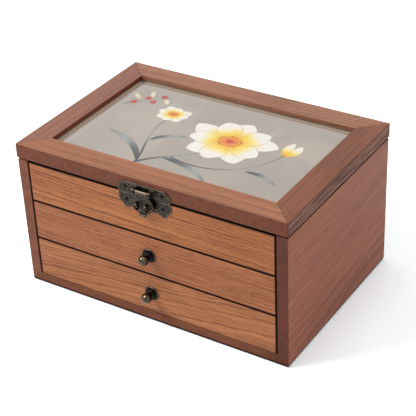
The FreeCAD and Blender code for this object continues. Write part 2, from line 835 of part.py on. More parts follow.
def tacks(label, face, z):
    made = []
    head_y = f"{face} - plate_thickness"
    for sign in (-1, 1):
        x = f"{sign} * tack_place"
        head = rod(label + "_head", "y", (x, head_y, z), "tack_head_radius", "tack_head_height")
        shank = rod(label + "_shank", "y", (x, head_y, z), "tack_radius", "plate_thickness + tack_length")
        made.append(joined(label + "_tack", [head, shank]))
    return keep(label, grouped(label, made), len(made))


def hasp_upper_plate():
    """Cut-cornered plate on the lid's front edge, with two ears that hold the hasp's pin."""
    made = body("hasp_upper_plate")
    front = "lid_front - plate_thickness"
    corners = [
        ("-plate_half_width", "lid_low"),
        ("plate_half_width", "lid_low"),
        ("plate_half_width", "upper_plate_high - upper_plate_cut"),
        ("plate_half_width - upper_plate_cut", "upper_plate_high"),
        ("-plate_half_width + upper_plate_cut", "upper_plate_high"),
        ("-plate_half_width", "upper_plate_high - upper_plate_cut"),
    ]
    pad(made, "y", (front, "lid_front"), corners)
    eased(made, "plate_chamfer", {"y": front}, kind="Chamfer")
    tack_seats(made, "lid_front", "upper_tack_z")
    inner = "knuckle_half_length + knuckle_play"
    outer = inner + " + ear_length"
    z = ("hasp_pin_z - ear_radius", "hasp_pin_z + ear_radius")
    for span in ((f"-({outer})", f"-({inner})"), (inner, outer)):
        pad(made, "x", span, rectangle(("hasp_pin_y", front), z))
        pad(made, "x", span, holes=[("hasp_pin_y", "hasp_pin_z", "ear_radius")])
    bore = [("hasp_pin_y", "hasp_pin_z", "hasp_pin_radius + hasp_pin_play")]
    pocket(made, "x", (f"-({outer})", outer), holes=bore)
    return keep("hasp_upper_plate", made)


def hasp_pin():
    half = "(knuckle_half_length + knuckle_play + ear_length)"
    y, z = "hasp_pin_y", "hasp_pin_z"
    shank = rod("hasp_pin_shank", "x", (f"-{half}", y, z), "hasp_pin_radius", f"2 * {half}")
    ends = [
        rod("hasp_pin_end", "x", (start, y, z), "hasp_pin_head_radius", "hasp_pin_head_height")
        for start in (f"-{half} - hasp_pin_head_height", half)
    ]
    return keep("hasp_pin", joined("hasp_pin", [shank, *ends]))


def hasp_tongue():
    """Shield-shaped flap that swings on the pin. Its slots drop over the lugs, and its lip curls out."""
    made = body("hasp_tongue")
    front, back = "hasp_pin_y - tongue_thickness / 2", "hasp_pin_y + tongue_thickness / 2"
    top, shoulder = "hasp_pin_z", "hasp_pin_z - tongue_shoulder"
    cheek, chin = "hasp_pin_z - tongue_widest_drop", "hasp_pin_z - tongue_chin_drop"
    tip = "hasp_pin_z - tongue_drop"
    corners = [
        ("-knuckle_half_length", top),
        ("-knuckle_half_length", shoulder),
        ("-tongue_widest", cheek, "tongue_shoulder_bow"),
        ("-tongue_chin", chin, "tongue_cheek_bow"),
        ("-tongue_tip", tip),
        ("tongue_tip", tip),
        ("tongue_chin", chin),
        ("tongue_widest", cheek, "tongue_cheek_bow"),
        ("knuckle_half_length", shoulder, "tongue_shoulder_bow"),
        ("knuckle_half_length", top),
    ]
    pad(made, "y", (front, back), corners)
    eased(made, "tongue_round", {"y": front, "z": (tip, shoulder)})
    knuckle = ("-knuckle_half_length", "knuckle_half_length")
    pad(made, "x", knuckle, holes=[("hasp_pin_y", "hasp_pin_z", "knuckle_radius")])
    pad(made, "x", ("-tongue_tip", "tongue_tip"), holes=[(front, tip, "lip_radius")])
    pocket(made, "x", knuckle, holes=[("hasp_pin_y", "hasp_pin_z", "hasp_pin_radius + hasp_pin_play")])
    for sign in (-1, 1):
        x = (f"{sign} * lug_place - slot_half_width", f"{sign} * lug_place + slot_half_width")
        pocket(made, "y", (front, back), rectangle(x, ("lug_z - slot_fall", "lug_z + slot_rise")))
    return keep("hasp_tongue", made)


def hasp_lower_plate():
    """Lobed plate on the fixed front, with two eyed lugs for a padlock."""
    made = body("hasp_lower_plate")
    front = "front_y - plate_thickness"
    low, high = "lower_plate_low", "lower_plate_high"
    right = [
        ("lobe_notch", low + " + lobe_notch_rise"),
        ("lobe_inner", low),
        ("lobe_side", low),
        ("lobe_outer", low + " + lobe_rise"),
        ("plate_half_width", low + " + lobe_shoulder"),
        ("plate_half_width", high),
    ]
    left = [(f"-{x}", z) for x, z in reversed(right)]
    pad(made, "y", (front, "front_y"), right + left)
    eased(made, "plate_chamfer", {"y": front}, kind="Chamfer")
    tack_seats(made, "front_y", "lower_tack_z")
    z = ("lug_z - lug_half_height", "lug_z + lug_half_height")
    nose = "lug_tip + lug_half_height"
    for sign in (-1, 1):
        span = (f"{sign} * lug_place - lug_thickness / 2", f"{sign} * lug_place + lug_thickness / 2")
        pad(made, "x", span, rectangle((nose, front), z))
        pad(made, "x", span, holes=[(nose, "lug_z", "lug_half_height")])
    across = ("-lug_place - lug_thickness", "lug_place + lug_thickness")
    pocket(made, "x", across, holes=[("lug_tip + lug_eye_inset", "lug_z", "lug_eye_radius")])
    return keep("hasp_lower_plate", made)


def hasp():
    hasp_upper_plate()
    tacks("hasp_upper_tacks", "lid_front", "upper_tack_z")
    hasp_pin()
    hasp_tongue()
    hasp_lower_plate()
    tacks("hasp_lower_tacks", "front_y", "lower_tack_z")


# Lid hinges
def leaf(label, sign, way):
    """One leaf of a stop hinge, for the lid (way 1) or the case (way -1).
    The bevelled heels behind the pin meet when the lid is open, and stop it."""
    made = body(label)
    face = f"hinge_z + {way} * leaf_gap / 2"
    outer = f"hinge_z + {way} * (leaf_gap / 2 + leaf_thickness)"
    behind = "lid_back" if way > 0 else "back_y"
    bevel_y = "hinge_y + heel_reach * cos(heel_angle)"
    corners = [
        ("leaf_front", face),
        ("hinge_y", face),
        (bevel_y, f"hinge_z + {way} * heel_reach * sin(heel_angle)"),
        (bevel_y, f"hinge_z + {way} * heel_height"),
        (behind, f"hinge_z + {way} * heel_height"),
        (behind, outer),
        ("leaf_front", outer),
    ]
    half, knuckle = "hinge_width / 2", "hinge_knuckle_length / 2"
    pad(made, "x", (f"-{half}", half), corners)
    middle = [(f"-{knuckle}", knuckle)]
    ends = [(f"-{half}", f"-{knuckle}"), (knuckle, half)]
    own, other = (middle, ends) if way > 0 else (ends, middle)
    for span in other:
        pocket(made, "x", span, holes=[("hinge_y", "hinge_z", "hinge_barrel_radius + hinge_play")])
    for low, high in own:
        low = low if low == f"-{half}" else low + " + hinge_play / 2"
        high = high if high == half else high + " - hinge_play / 2"
        pad(made, "x", (low, high), holes=[("hinge_y", "hinge_z", "hinge_barrel_radius")])
    bore = [("hinge_y", "hinge_z", "hinge_pin_radius + hinge_pin_play")]
    pocket(made, "x", (f"-{half}", half), holes=bore)
    seat = f"hinge_z + {way} * (leaf_gap / 2 + hinge_screw_head_height)"
    spots = [f"{side} * hinge_screw_place" for side in (-1, 1)]
    seats = [(x, "hinge_screw_y", "hinge_screw_head") for x in spots]
    pocket(made, "z", sorted((face, seat), key=worth), holes=seats)
    through = [(x, "hinge_screw_y", "hinge_screw_radius") for x in spots]
    pocket(made, "z", sorted((face, outer), key=worth), holes=through)
    bind(made, "Placement.Base.x", f"{sign} * hinge_place")
    return keep(label, made)


def hinge_screws(label, way):
    made = []
    start = f"hinge_z + {way} * leaf_gap / 2"
    length = "(leaf_thickness + hinge_screw_length)"
    for x in hinge_screw_spots(-1) + hinge_screw_spots(1):
        head_z = start if way > 0 else start + " - hinge_screw_head_height"
        shank_z = start if way > 0 else f"{start} - {length}"
        top, foot = (x, "hinge_screw_y", head_z), (x, "hinge_screw_y", shank_z)
        head = rod(label + "_head", "z", top, "hinge_screw_head", "hinge_screw_head_height")
        shank = rod(label + "_shank", "z", foot, "hinge_screw_radius", length)
        made.append(joined(label + "_screw", [head, shank]))
    return keep(label, grouped(label, made), len(made))


def hinges():
    for name, sign in (("left", -1), ("right", 1)):
        leaf(f"hinge_{name}_lid_leaf", sign, 1)
        leaf(f"hinge_{name}_case_leaf", sign, -1)
        pin = f"hinge_{name}_pin"
        start = (f"{sign} * hinge_place - hinge_width / 2", "hinge_y", "hinge_z")
        keep(pin, rod(pin, "x", start, "hinge_pin_radius", "hinge_width"))
    hinge_screws("hinge_lid_screws", 1)
    hinge_screws("hinge_case_screws", -1)


# The whole box
def check():
    """Stops before anything is written if a feature failed or a piece isn't the solids it should be."""
    doc.recompute()
    for thing in doc.Objects:
        if "Invalid" in thing.State or "Error" in thing.State:
            raise RuntimeError(f"{thing.Label} failed: {thing.State}")
    for label, (thing, solids) in pieces.items():
        shape = thing.Shape
        if shape.isNull() or not shape.isValid() or len(shape.Solids) != solids:
            raise RuntimeError(f"{label} is not {solids} valid solid(s)")


case()
tray()
drawer("upper_drawer", "drawer_split + front_gap / 2", "tray_split - front_gap / 2", "shelf_high")
drawer("lower_drawer", "floor_top + front_foot_gap", "drawer_split - front_gap / 2", "floor_top")
lid()
hasp()
hinges()
check()

os.makedirs("parts", exist_ok=True)
for label, (thing, _) in pieces.items():
    thing.Shape.exportStep(f"parts/{label}.step")
print(len(pieces), "nodes written")
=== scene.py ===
# Looks of the keepsake box: stained wood, aged bronze, glass over embroidered silk, velvet.
import math

import bpy
from mathutils import Matrix, Vector, kdtree, noise

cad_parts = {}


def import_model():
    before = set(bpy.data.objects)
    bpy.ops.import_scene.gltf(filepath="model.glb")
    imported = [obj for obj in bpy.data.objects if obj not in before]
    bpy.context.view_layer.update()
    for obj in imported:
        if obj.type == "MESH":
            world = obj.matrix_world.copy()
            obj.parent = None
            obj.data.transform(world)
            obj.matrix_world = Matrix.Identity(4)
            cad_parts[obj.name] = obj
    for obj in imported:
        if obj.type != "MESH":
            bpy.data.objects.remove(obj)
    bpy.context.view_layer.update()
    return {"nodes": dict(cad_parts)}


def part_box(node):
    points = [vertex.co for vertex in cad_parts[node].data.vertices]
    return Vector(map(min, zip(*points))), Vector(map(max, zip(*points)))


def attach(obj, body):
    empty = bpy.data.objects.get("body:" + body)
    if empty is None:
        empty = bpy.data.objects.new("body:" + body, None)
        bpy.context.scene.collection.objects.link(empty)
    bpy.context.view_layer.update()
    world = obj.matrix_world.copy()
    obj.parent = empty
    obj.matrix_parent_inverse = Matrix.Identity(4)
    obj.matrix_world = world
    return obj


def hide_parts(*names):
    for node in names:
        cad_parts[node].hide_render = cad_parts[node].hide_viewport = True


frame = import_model()
nodes = frame["nodes"]

scene = bpy.context.scene
scene.view_settings.view_transform = "Standard"

MM = 0.001


# Node helpers
class Paint:
    """One material and short ways to add nodes to it. A method returns the new node's output socket."""

    def __init__(self, name):
        self.material = bpy.data.materials.new(name)
        self.material.use_nodes = True
        self.tree = self.material.node_tree
        self.tree.nodes.clear()
        self.output = self.tree.nodes.new("ShaderNodeOutputMaterial")

    def add(self, kind, **settings):
        node = self.tree.nodes.new("ShaderNode" + kind)
        for key, value in settings.items():
            setattr(node, key, value)
        return node

    def feed(self, socket, value):
        if isinstance(value, bpy.types.NodeSocket):
            self.tree.links.new(value, socket)
        elif value is not None:
            socket.default_value = value

    def object_place(self):
        """The place in the frame, in metres, because every node's object sits at the origin."""
        return self.add("TexCoord").outputs["Object"]

    def moved(self, vector, scale=(1, 1, 1), shift=(0, 0, 0)):
        node = self.add("Mapping")
        self.feed(node.inputs["Vector"], vector)
        node.inputs["Scale"].default_value = scale
        node.inputs["Location"].default_value = shift
        return node.outputs["Vector"]

    def noise(self, vector, scale, detail=2.0, roughness=0.5):
        node = self.add("TexNoise")
        self.feed(node.inputs["Vector"], vector)
        node.inputs["Scale"].default_value = scale
        node.inputs["Detail"].default_value = detail
        node.inputs["Roughness"].default_value = roughness
        return node.outputs["Fac"]

    def math(self, operation, first, second=None):
        node = self.add("Math", operation=operation)
        for socket, value in zip(node.inputs, (first, second)):
            self.feed(socket, value)
        return node.outputs[0]

    def vector_math(self, operation, first, second=None):
        node = self.add("VectorMath", operation=operation)
        self.feed(node.inputs[0], first)
        self.feed(node.inputs[1], second)
        return node

    def parts(self, vector):
        node = self.add("SeparateXYZ")
        self.feed(node.inputs[0], vector)
        return node.outputs

    def combined(self, x, y, z):
        node = self.add("CombineXYZ")
        for socket, value in zip(node.inputs, (x, y, z)):
            self.feed(socket, value)
        return node.outputs[0]

    def ranged(self, value, low, high, to_low=0.0, to_high=1.0, smooth=False):
        node = self.add("MapRange", interpolation_type="SMOOTHSTEP" if smooth else "LINEAR")
        for socket, each in zip(node.inputs, (value, low, high, to_low, to_high)):
            self.feed(socket, each)
        return node.outputs[0]

    def ramp(self, value, *stops):
        """Colours at places from 0 to 1."""
        node = self.add("ValToRGB")
        self.feed(node.inputs[0], value)
        elements = node.color_ramp.elements
        while len(elements) < len(stops):
            elements.new(0.5)
        for element, (place, colour) in zip(elements, stops):
            element.position = place
            element.color = (*colour, 1)
        return node.outputs["Color"]

    def mixed(self, factor, first, second, blend="MIX"):
        node = self.add("Mix", data_type="RGBA", blend_type=blend)
        self.feed(node.inputs[0], factor)
        for socket, value in ((node.inputs[6], first), (node.inputs[7], second)):
            self.feed(socket, (*value, 1) if isinstance(value, tuple) else value)
        return node.outputs[2]

    def bumped(self, height, strength, distance, under=None):
        node = self.add("Bump")
        self.feed(node.inputs["Height"], height)
        node.inputs["Strength"].default_value = strength
        node.inputs["Distance"].default_value = distance
        self.feed(node.inputs["Normal"], under)
        return node.outputs["Normal"]

    def principled(self, **inputs):
        node = self.add("BsdfPrincipled")
        for key, value in inputs.items():
            socket = node.inputs[key.replace("_", " ")]
            self.feed(socket, (*value, 1) if isinstance(value, tuple) else value)
        return node.outputs[0]

    def finish(self, shader):
        self.tree.links.new(shader, self.output.inputs["Surface"])
        return self.material


def srgb(red, green, blue):
    """A colour from 0 to 255 as the shader's linear values."""

    def linear(value):
        value /= 255
        return value / 12.92 if value <= 0.04045 else ((value + 0.055) / 1.055) ** 2.4

    return tuple(linear(value) for value in (red, green, blue))


# Wood
SATIN = (0.40, 0.52)
RIM = (128.0, 86.5)
UPPER_LID = 130.0
FRONT_FACE = (-86.6, -85.8)


class Wood(Paint):
    """Stained wood. along is the grain's axis, and seed sets one board's figure apart from the next. Lengths
    are in mm, from the frame's origin. A later call lays its colour over the earlier ones: stains, and in
    some calls painted shade."""

    def __init__(self, name, along, seed):
        super().__init__(name)
        coordinates = self.add("TexCoord")
        self.place = self.parts(coordinates.outputs["Object"])
        self.facing = self.parts(coordinates.outputs["Normal"])
        self.seed = seed
        self.grain = self.place["XYZ".index(along)]
        self.across = [self.place[i] for i in range(3) if i != "XYZ".index(along)]
        self.own = self.combined(self.math("ADD", self.grain, seed * 0.37), *self.across)

    def chance(self, along, across, shift, detail, roughness=0.5):
        """Noise that is stretched along the grain."""
        stretched = self.moved(self.own, scale=(along, across, across), shift=shift)
        return self.noise(stretched, 1, detail, roughness)

    def stain(self, mask, colour, matt=0.0):
        """Another colour where the mask is 1, and at least the roughness matt."""
        self.colour = self.mixed(mask, self.colour, colour)
        if matt:
            self.surface = self.math("MAXIMUM", self.surface, self.math("MULTIPLY", mask, matt))

    def years(self, pitch, heart, lean, wave):
        """The dark line that ends each year, from 0 to 1. pitch is the mean ring width, heart where the
        tree's middle lies on the two axes across, lean how it slopes, and wave how far a ring strays."""
        seed = self.seed
        bend = self.math("SUBTRACT", self.chance(7, 14, (seed * 1.7, seed, 0), 1.5), 0.5)
        bend = self.math("MULTIPLY", bend, 12 * MM)
        first, second = (self.math("SUBTRACT", each, h * MM) for each, h in zip(self.across, heart))
        first = self.math("ADD", first, bend)
        second = self.math("ADD", second, self.math("ADD", bend, self.math("MULTIPLY", self.grain, lean)))
        reach = self.vector_math("LENGTH", self.combined(first, second, 0.0)).outputs["Value"]
        waves = self.chance(48, 130, (0, seed, 3), 3, 0.6)
        reach = self.math("ADD", reach, self.math("MULTIPLY", waves, wave * MM))
        rings = self.math("DIVIDE", reach, pitch * MM)
        uneven_years = self.math("MULTIPLY", self.noise(self.combined(rings, seed, 0.0), 0.35, 1), 3.0)
        rings = self.math("ADD", rings, uneven_years)
        phase = self.math("FRACT", rings)
        late = self.ranged(phase, 0.25, 0.85, 0, 1, smooth=True)
        early = self.ranged(phase, 0.86, 1.0, 1, 0)
        patchy = self.noise(self.combined(rings, self.grain, seed), 1.3, 2)
        line = self.math("MULTIPLY", late, early)
        return self.math("MULTIPLY", line, self.ranged(patchy, 0.3, 0.7, 0.3, 1.0))

    def figure(self, line, light, dark, pore, contrast, streaks, pores):
        """The face of the board: its years, streaks, fibres and open pores."""
        seed = self.seed
        streak = self.chance(11, 520, (seed, 4, 0), 3, 0.6)
        fibre = self.chance(70, 2600, (seed, 0, 0), 3, 0.6)
        dashes = self.chance(130, 2300, (0, seed, 1), 1)
        broad = self.chance(8, 38, (seed, 2, 0), 2)
        late_wood = self.ranged(line, 0, 1, 0.45, 1)
        open_pores = self.math("MULTIPLY", self.ranged(dashes, 0.58, 0.68, 0, 1), late_wood)
        tone = self.math("MULTIPLY", line, 0.60 * contrast)
        tone = self.math("ADD", tone, self.ranged(fibre, 0.3, 0.7, -0.08, 0.16))
        tone = self.math("ADD", tone, self.ranged(streak, 0.3, 0.7, -0.2 * streaks, 0.2 * streaks))
        tone = self.math("ADD", tone, self.ranged(broad, 0.3, 0.7, -0.13, 0.13))
        tone = self.math("ADD", tone, 0.15)
        self.colour = self.ramp(tone, (0.0, light), (0.9, dark))
        self.surface = self.ranged(fibre, 0.3, 0.7, *SATIN)
        self.stain(self.math("MULTIPLY", open_pores, 0.6 * pores), pore)
        self.height = self.math("SUBTRACT", self.math("MULTIPLY", line, -0.35), open_pores)

    def sawn_edges(self, axes, edge, edge_light=None, beyond=0.0, saw_grain=(900, 260), corner=None,
                   well=None, rub=0.0):
        """The stain on faces that look along the axes and lie beyond a distance from the middle. corner is
        its colour near the box's right corner, well that of the faces which lie nearer, and the last
        argument the share of a dark red line on the upper arris."""
        turned = None
        for axis in ("XYZ".index(letter) for letter in axes):
            looking = self.math("ABSOLUTE", self.facing[axis])
            far = self.math("GREATER_THAN", self.math("ABSOLUTE", self.place[axis]), beyond * MM)
            each = self.math("MULTIPLY", looking, far)
            turned = each if turned is None else self.math("MAXIMUM", turned, each)
        lighter = edge_light or [value * 1.12 for value in edge]
        saw = self.chance(*saw_grain, (self.seed, 0, 5), 2)
        colour = self.ramp(saw, (0.38, srgb(*lighter)), (0.62, srgb(*edge)))
        if corner:
            right = self.ranged(self.place[0], 100 * MM, 124 * MM, 0, 1, smooth=True)
            colour = self.mixed(right, colour, srgb(*corner))
        if well:
            near = self.math("MULTIPLY", looking, self.math("SUBTRACT", 1.0, far))
            self.stain(self.ranged(near, 0.5, 0.8, 0, 1), srgb(*well))
        self.stain(self.ranged(turned, 0.55, 0.8, 0, 1), colour, matt=0.7)
        if rub:
            slant = self.math("MULTIPLY", turned, self.math("ABSOLUTE", self.facing[2]))
            high = self.math("GREATER_THAN", self.place[2], UPPER_LID * MM)
            edge_mask = self.ranged(self.math("MULTIPLY", slant, high), 0.12, 0.3, 0, rub)
            self.stain(edge_mask, srgb(85, 34, 22))

    def from_middle(self):
        return (self.math("ABSOLUTE", self.place[axis]) for axis in (0, 1))

    def mitre_line(self, away):
        """The joint's 45 degree line, whose distance from the origin is away."""
        x, y = self.from_middle()
        off = self.math("ABSOLUTE", self.math("SUBTRACT", self.math("SUBTRACT", x, y), away * MM))
        self.stain(self.ranged(off, 0.15 * MM, 0.45 * MM, 0.6, 0), srgb(45, 24, 16))

    def painted_edge_shadow(self, start, end):
        """Painted shade along the lower edge of the outer faces, between two heights: the shadow in the gap
        under the lid, and the contact shadow at the foot of the case.
        """
        x, y = self.from_middle()
        rim = self.math("MAXIMUM", self.math("ADD", x, -RIM[0] * MM), self.math("ADD", y, -RIM[1] * MM))
        low = self.ranged(self.place[2], start * MM, end * MM, 0.92, 0)
        low = self.math("MULTIPLY", low, self.ranged(rim, 0, 0.5 * MM))
        self.stain(low, srgb(40, 18, 13), matt=1.0)

    def dark_pocket(self, half_width, front):
        """Painted shade on a board's inside in the gap beside a drawer, nearer than half_width and in front
        of front.
        """
        inside, _ = self.from_middle()
        inside = self.ranged(inside, (half_width - 0.3) * MM, half_width * MM, 0.9, 0)
        ahead = self.ranged(self.place[1], front * MM, (front + 4) * MM, 1, 0)
        self.stain(self.math("MULTIPLY", inside, ahead), srgb(22, 9, 7), matt=1.0)

    def painted_gap_shade(self, half, low, high):
        """Painted shade in a thin band along the edges of a front, standing for the dark gaps between the
        fronts.
        """
        x, _ = self.from_middle()
        away = self.math("MULTIPLY", self.math("SUBTRACT", half * MM, x), 0.7)
        away = self.math("MINIMUM", away, self.math("SUBTRACT", self.place[2], low * MM))
        away = self.math("MINIMUM", away, self.math("SUBTRACT", high * MM, self.place[2]))
        band = self.ranged(away, 0.3 * MM, 0.7 * MM, 0.9, 0)
        on_front = self.ranged(self.place[1], FRONT_FACE[0] * MM, FRONT_FACE[1] * MM, 1, 0)
        self.stain(self.math("MULTIPLY", band, on_front), srgb(28, 11, 8), matt=1.0)

    def varnished(self, gloss):
        rounded = self.add("Bevel", samples=4)
        rounded.inputs["Radius"].default_value = 0.5 * MM
        shader = self.principled(
            Base_Color=self.colour,
            Roughness=self.surface,
            Specular_IOR_Level=gloss,
            Normal=self.bumped(self.height, 0.3, 0.08 * MM, rounded.outputs[0]),
        )
        return self.finish(shader)


def wood(name, along, light, dark, pore, pitch, heart, seed, lean=0.0, contrast=1.0, streaks=1.0, pores=1.0,
         wave=2.2, gloss=0.28, edges="", mitre=None, edge_shadow=None, pocket=None, panel=None, **stain):
    """One kind of board. The keyword arguments left over are what sawn_edges takes."""
    board = Wood(name, along, seed)
    board.figure(board.years(pitch, heart, lean, wave), light, dark, pore, contrast, streaks, pores)
    if edges:
        board.sawn_edges(edges, **stain)
    if mitre:
        board.mitre_line(mitre)
    # Painted shade: the dark lower edges, the drawer gaps at the sides and the gaps between the fronts.
    if edge_shadow:
        board.painted_edge_shadow(*edge_shadow)
    if pocket:
        board.dark_pocket(*pocket)
    if panel:
        board.painted_gap_shade(*panel)
    return board.varnished(gloss)


# Metal
BALL = (-95.0, -96.5)


def bronze(name="aged_bronze", relief=False, knob_height=None):
    """Dark cast bronze. With relief the mesh's raised value tells the hollows from the worn high places,
    where it is above 1 the piece is painted brightest as a highlight, and the tacks' holes lie below 0,
    where they are painted near-black as their shade. With knob_height a knob's neck and dish are black, its
    ball and rim are polished by hands, and its rim also carries a painted highlight. Sharp edges are painted
    bright, as edge wear together with a painted highlight."""
    paint = Paint(name)
    place = paint.object_place()
    cloud = paint.noise(place, 420, 4, 0.6)
    edge = paint.add("Bevel", samples=4)
    edge.inputs["Radius"].default_value = 0.35 * MM
    flat = paint.add("NewGeometry").outputs["Normal"]
    turned = paint.vector_math("DOT_PRODUCT", edge.outputs[0], flat).outputs["Value"]
    edge_mask = paint.ranged(turned, 0.80, 0.98, 1, 0)
    colour = paint.ramp(cloud, (0.35, srgb(44, 39, 34)), (0.7, srgb(70, 62, 52)))
    if relief:
        raised = paint.add("Attribute", attribute_name="raised").outputs["Fac"]
        speckled = paint.math("ADD", raised, paint.ranged(cloud, 0.3, 0.7, -0.25, 0.25))
        cast = ((0.15, srgb(42, 37, 33)), (0.6, srgb(58, 51, 45)), (1.0, srgb(84, 75, 66)))
        colour = paint.ramp(speckled, *cast)
        # Painted shade: the hole round each tack is near-black.
        hole_shade = paint.ranged(raised, -0.8, -0.2, 1, 0)
        colour = paint.mixed(hole_shade, colour, srgb(12, 10, 9))
    rough = paint.ranged(cloud, 0.3, 0.7, 0.30, 0.44)
    if knob_height:
        x, y, z = paint.parts(place)
        out = paint.combined(x, paint.math("SUBTRACT", z, knob_height), 0.0)
        reach = paint.vector_math("LENGTH", out).outputs["Value"]
        ball = paint.ranged(y, BALL[0] * MM, BALL[1] * MM)
        hands = paint.math("MAXIMUM", ball, paint.ranged(reach, 5.4 * MM, 6.2 * MM, 0, 0.35))
        mottled = paint.ramp(cloud, (0.38, srgb(38, 33, 28)), (0.66, srgb(112, 102, 82)))
        colour = paint.mixed(hands, srgb(20, 17, 15), mottled)
        rough = paint.ranged(hands, 0, 1, 0.5, 0.22)
        # A painted highlight on the knob's rim.
        colour = paint.mixed(paint.ranged(reach, 5.9 * MM, 6.3 * MM, 0, 0.15), colour, srgb(150, 138, 116))
    # Sharp edges painted bright: edge wear together with a painted highlight.
    colour = paint.mixed(paint.math("MULTIPLY", edge_mask, 0.5), colour, srgb(132, 120, 98))
    shader = paint.principled(
        Base_Color=colour,
        Metallic=1.0,
        Roughness=rough,
        Normal=paint.bumped(paint.noise(place, 1800, 3), 0.2, 0.04 * MM),
    )
    return paint.finish(shader)


def plain(name, colour, rough, **more):
    paint = Paint(name)
    speck = paint.noise(paint.object_place(), 900, 3)
    tinted = paint.mixed(paint.ranged(speck, 0.3, 0.7, 0, 0.25), colour, tuple(c * 0.7 for c in colour))
    return paint.finish(paint.principled(Base_Color=tinted, Roughness=rough, **more))


# Glass
def clear_glass():
    """Bends and mirrors what is seen, and lets the lamps through to the silk."""
    paint = Paint("pane_glass")
    light = paint.add("LightPath")
    pane = paint.principled(
        Base_Color=(0.99, 0.99, 0.985), Roughness=0.0, IOR=1.25, Transmission_Weight=1.0
    )
    through = paint.add("BsdfTransparent")
    through.inputs[0].default_value = (0.95, 0.95, 0.945, 1)
    both = paint.add("MixShader")
    lamps = paint.math("MAXIMUM", light.outputs["Is Shadow Ray"], light.outputs["Is Diffuse Ray"])
    paint.feed(both.inputs[0], lamps)
    paint.feed(both.inputs[1], pane)
    paint.feed(both.inputs[2], through.outputs[0])
    return paint.finish(both.outputs[0])


# Cloth
WINDOW = (108.6, 67.1)
STRIP_WIDTH = 4.2
THREAD = 0.30


def silk():
    """Sheer silk with painted light: paler towards the left and the back, and a denser olive strip along the
    window's edge that is painted brighter nearest the wall.
    """
    paint = Paint("sheer_silk")
    place = paint.parts(paint.object_place())
    turns = 2 * math.pi / (THREAD * MM)
    weave = [paint.math("SINE", paint.math("MULTIPLY", place[axis], turns)) for axis in (0, 1)]
    height = paint.math("MULTIPLY", weave[0], weave[1])
    mist = paint.noise(paint.object_place(), 12, 2)
    colour = paint.ramp(mist, (0.3, srgb(209, 198, 188)), (0.7, srgb(216, 205, 196)))
    inside = [
        paint.math("SUBTRACT", WINDOW[axis] * MM, paint.math("ABSOLUTE", place[axis])) for axis in (0, 1)
    ]
    inside = paint.math("MINIMUM", *inside)
    # Painted light: within 14 mm of the left and back edges the silk is painted paler, against the shade of
    # the window's walls.
    left = paint.math("ADD", place[0], WINDOW[0] * MM)
    behind = paint.math("SUBTRACT", WINDOW[1] * MM, place[1])
    near = paint.ranged(paint.math("MINIMUM", left, behind), STRIP_WIDTH * MM, 14 * MM, 1, 0)
    colour = paint.mixed(paint.math("MULTIPLY", near, near), colour, srgb(243, 235, 228))
    # The olive strip is painted brighter towards the wall, as painted light against the wall's shade.
    strip_colour = paint.ramp(
        paint.ranged(inside, 0, STRIP_WIDTH * MM),
        (0.07, srgb(250, 228, 200)),
        (0.4, srgb(206, 182, 156)),
        (0.66, srgb(176, 151, 129)),
        (1.0, srgb(172, 147, 126)),
    )
    at_back = paint.math("MULTIPLY", paint.math("LESS_THAN", behind, left), 0.5)
    strip_colour = paint.mixed(at_back, strip_colour, srgb(145, 134, 121))
    edge_strip = paint.ranged(inside, (STRIP_WIDTH - 0.1) * MM, (STRIP_WIDTH + 0.1) * MM, 1, 0)
    colour = paint.mixed(edge_strip, colour, strip_colour)
    cloth = paint.principled(
        Base_Color=colour, Roughness=0.6, Sheen_Weight=0.2, Normal=paint.bumped(height, 0.2, 0.03 * MM)
    )
    through = paint.add("BsdfTranslucent")
    paint.feed(through.inputs[0], colour)
    fabric = paint.add("MixShader")
    fabric.inputs[0].default_value = 0.25
    paint.feed(fabric.inputs[1], cloth)
    paint.feed(fabric.inputs[2], through.outputs[0])
    gaps = paint.add("BsdfTransparent")
    gaps.inputs[0].default_value = (0.8, 0.75, 0.69, 1)
    both = paint.add("MixShader")
    paint.feed(both.inputs[0], paint.ranged(edge_strip, 0, 1, 0.56, 0.95))
    paint.feed(both.inputs[1], gaps.outputs[0])
    paint.feed(both.inputs[2], fabric.outputs[0])
    return paint.finish(both.outputs[0])


def velvet(name, light, dark):
    paint = Paint(name)
    place = paint.object_place()
    pile = paint.noise(place, 2500, 2, 0.7)
    nap = paint.noise(paint.moved(place, scale=(1, 1, 0.6)), 45, 3, 0.6)
    colour = paint.mixed(paint.ranged(nap, 0.35, 0.65), dark, light)
    colour = paint.mixed(paint.ranged(pile, 0.3, 0.7, 0, 0.3), colour, dark)
    shader = paint.principled(
        Base_Color=colour,
        Roughness=0.95,
        Specular_IOR_Level=0.1,
        Sheen_Weight=0.6,
        Sheen_Roughness=0.35,
        Normal=paint.bumped(pile, 0.5, 0.12 * MM),
    )
    return paint.finish(shader)


def dress(names, material):
    for name in names:
        mesh = nodes[name].data
        mesh.materials.clear()
        mesh.materials.append(material)


def fronts_edges(node):
    """Half the width, the low and the high of a drawer front, in mm."""
    low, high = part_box(node)
    return high.x / MM, low.z / MM, high.z / MM


